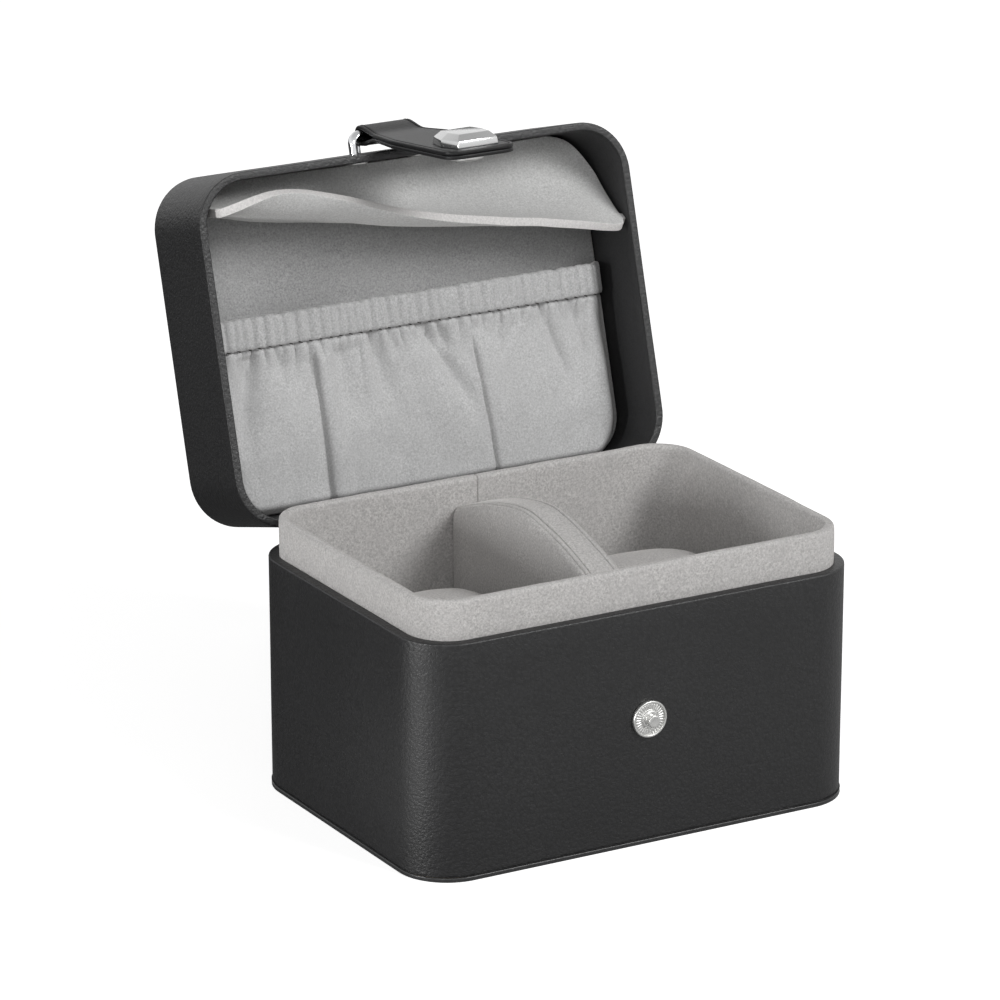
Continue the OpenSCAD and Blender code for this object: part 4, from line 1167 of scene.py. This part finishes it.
# %% Socket
socket_hole, socket_r = 2.3, 4.4
socket_profile = rounded([(0, 0.1, 0), (socket_hole, 0.1, 0.05), (socket_hole, 1.9, 0.3),
                          (2.75, 2.0, 0.2), (3.6, 1.5, 0.4), (4.2, 1.6, 0.2),
                          (socket_r, 1.2, 0.2), (socket_r, under, 0.1), (0, under, 0)], 4)
under_strap = on_flex @ Matrix.Translation((0, leather_t - 0.02, -snap_s)) \
    @ Matrix.Rotation(-math.pi / 2, 4, "X")
place_spun("snap_socket_stamped", spun(socket_profile), under_strap, "strap_end", "snap_socket")

# %% [markdown]
# ## Small hard parts
# Hinges, rivets, pins and washers keep their CAD shape, but a stamped or headed part never has a
# razor edge. So each is copied from its node, its loose triangles are merged, flat faces are
# joined, and a narrow Bevel modifier breaks the edges.

# %% Bevelled copies
def broken_edges(name, body, finish, width):
    """Copy a CAD node, merge it, and break its edges by width mm."""
    bm = bmesh.new()
    bm.from_mesh(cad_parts[name].data)
    bmesh.ops.scale(bm, vec=(1 / MM,) * 3, verts=bm.verts)
    bmesh.ops.remove_doubles(bm, verts=bm.verts, dist=0.002)
    bmesh.ops.dissolve_limit(bm, angle_limit=math.radians(1), verts=bm.verts, edges=bm.edges)
    made = keep(name + "_finished", bm, finish, body, [name], sharp=35)
    edge = made.modifiers.new("broken edge", "BEVEL")
    edge.width, edge.segments, edge.angle_limit = width * MM, 2, math.radians(35)


for name, body, width in (("hinge_base_leaves", "case", 0.14), ("hinge_lid_leaves", "lid", 0.14),
                          ("hinge_base_rivets", "case", 0.16), ("hinge_lid_rivets", "lid", 0.16),
                          ("hinge_pins", "case", 0.12)):
    broken_edges(name, body, hinge_nickel, width)
for name, body in (("stud_washer", "case"), ("strap_loop_washers", "lid"),
                   ("clasp_rivet", "strap_end"), ("snap_spring", "strap_end")):
    broken_edges(name, body, snap_nickel, 0.08)

# %% [markdown]
# ## Cloth
# The sheets of cloth are all drawn above.

print("cloth drawn")

# %% [markdown]
# ## Light and background
# A small black object with a grey lining is lit as in a product studio: a white room, a large soft
# lamp in front, above and to the right, a weak one at the left to fill the shadows, and a tall
# narrow one far left for the side. The white of the background comes from what the camera sees,
# not from more light. Black leatherette shows what it mirrors, so reflections see another floor,
# a painted reflection: dark behind the case and lighter in front of it, with a glowing patch that
# is no lamp lying to its left, in line with its front. The patch paints the sheen on the upright
# corner, a painted highlight. The ceiling is a little grey.

# %% Floor
floor_material = bpy.data.materials.new("white studio floor")
floor_material.use_nodes = True
tree = floor_material.node_tree
tree.nodes.clear()
seen = add(tree, "LightPath").outputs
place = add(tree, "TexCoord").outputs["Object"]
sides = add(tree, "SeparateXYZ", links={0: place}).outputs
diffuse = add(tree, "BsdfDiffuse", {"Color": colour("#d6d6d6")}).outputs[0]
glow = add(tree, "Emission", {"Color": (1, 1, 1, 1), "Strength": 0.76}).outputs[0]
lit = add(tree, "AddShader", links={0: diffuse, 1: glow}).outputs[0]

# Painted reflection: only reflections see this floor, darker behind the case and lighter in front.
in_front = add(tree, "VectorMath", {"operation": "DOT_PRODUCT", 1: (0.5, -0.86, 0)}, {0: place})
grey = stretch(tree, in_front.outputs["Value"], -0.2, 0.12, 0.16, 0.75)
dull = add(tree, "BsdfDiffuse", links={"Color": grey}).outputs[0]
# A glowing patch on the floor, seen only in reflections, paints the sheen on the upright corner.
sheen_patch_y, sheen_patch_half, sheen_patch_x, painted_sheen_glow = 0.045, (0.09, 0.02), (-0.08, -0.12), 1.3
aside = add(tree, "Math", {"operation": "ADD", 1: sheen_patch_y}, {0: sides["Y"]}).outputs[0]
aside = add(tree, "Math", {"operation": "ABSOLUTE"}, {0: aside}).outputs[0]
painted_sheen_strength = add(tree, "Math", {"operation": "MULTIPLY"},
            {0: stretch(tree, aside, *sheen_patch_half),
             1: stretch(tree, sides["X"], *sheen_patch_x, 0, painted_sheen_glow)}).outputs[0]
painted_sheen_patch = add(tree, "Emission", {"Color": (1, 1, 1, 1)}, {"Strength": painted_sheen_strength}).outputs[0]
painted_reflections = add(tree, "AddShader", links={0: dull, 1: painted_sheen_patch}).outputs[0]

pick = add(tree, "MixShader", links={0: seen["Is Glossy Ray"], 1: diffuse, 2: painted_reflections}).outputs[0]
pick = add(tree, "MixShader", links={0: seen["Is Camera Ray"], 1: pick, 2: lit}).outputs[0]
add(tree, "OutputMaterial", links={"Surface": pick})
ground = bmesh.new()
bmesh.ops.create_circle(ground, cap_ends=True, segments=64, radius=6)
ground_mesh = bpy.data.meshes.new("studio_floor")
ground.to_mesh(ground_mesh)
ground.free()
ground_mesh.materials.append(floor_material)
studio_floor = bpy.data.objects.new("studio_floor", ground_mesh)
bpy.context.scene.collection.objects.link(studio_floor)
print("white floor, grey in reflections, with a painted sheen patch that glows by", painted_sheen_glow)

# %% World
world = bpy.data.worlds.new("white room")
bpy.context.scene.world = world
world.use_nodes = True
tree = world.node_tree
tree.nodes.clear()
room = add(tree, "Background", {"Color": (1, 1, 1, 1), "Strength": 0.26}).outputs[0]
upwards = add(tree, "SeparateXYZ", links={0: add(tree, "TexCoord").outputs["Generated"]})
ceiling = stretch(tree, upwards.outputs["Z"], 0.35, 0.9, 1.0, 0.6)
white = add(tree, "Background", {"Strength": 1.0}, {"Color": ceiling}).outputs[0]
seen = add(tree, "LightPath").outputs
shown = add(tree, "Math", {"operation": "MAXIMUM"},
            {0: seen["Is Glossy Ray"], 1: seen["Is Transmission Ray"]}).outputs[0]
shown = add(tree, "Math", {"operation": "MAXIMUM"}, {0: seen["Is Camera Ray"], 1: shown}).outputs[0]
pick = add(tree, "MixShader", links={0: shown, 1: room, 2: white}).outputs[0]
add(tree, "OutputWorld", links={"Surface": pick})
print("white room")


# %% Lamps
case_middle = Vector((0, 0, 0.08))


def softbox(name, place, size, power):
    """An area lamp that faces the case."""
    lamp = bpy.data.lights.new(name, "AREA")
    lamp.shape, lamp.size, lamp.size_y, lamp.energy = "RECTANGLE", size[0], size[1], power
    made = bpy.data.objects.new(name, lamp)
    made.location = place
    made.rotation_euler = (Vector(place) - case_middle).to_track_quat("Z", "Y").to_euler()
    bpy.context.scene.collection.objects.link(made)
    print(name, power, "W at", place)


softbox("key_softbox", (0.8, -1.42, 1.34), (0.8, 0.8), 26.5)
softbox("fill_softbox", (-0.95, -1.4, 0.95), (0.5, 0.5), 5)
softbox("side_softbox", (-1.4, -0.1, 0.21), (0.1, 0.42), 9)

# %% [markdown]
# ## The end
# Colours are shown through the Standard view transform.

# %% Finish
bpy.context.scene.view_settings.view_transform = "Standard"
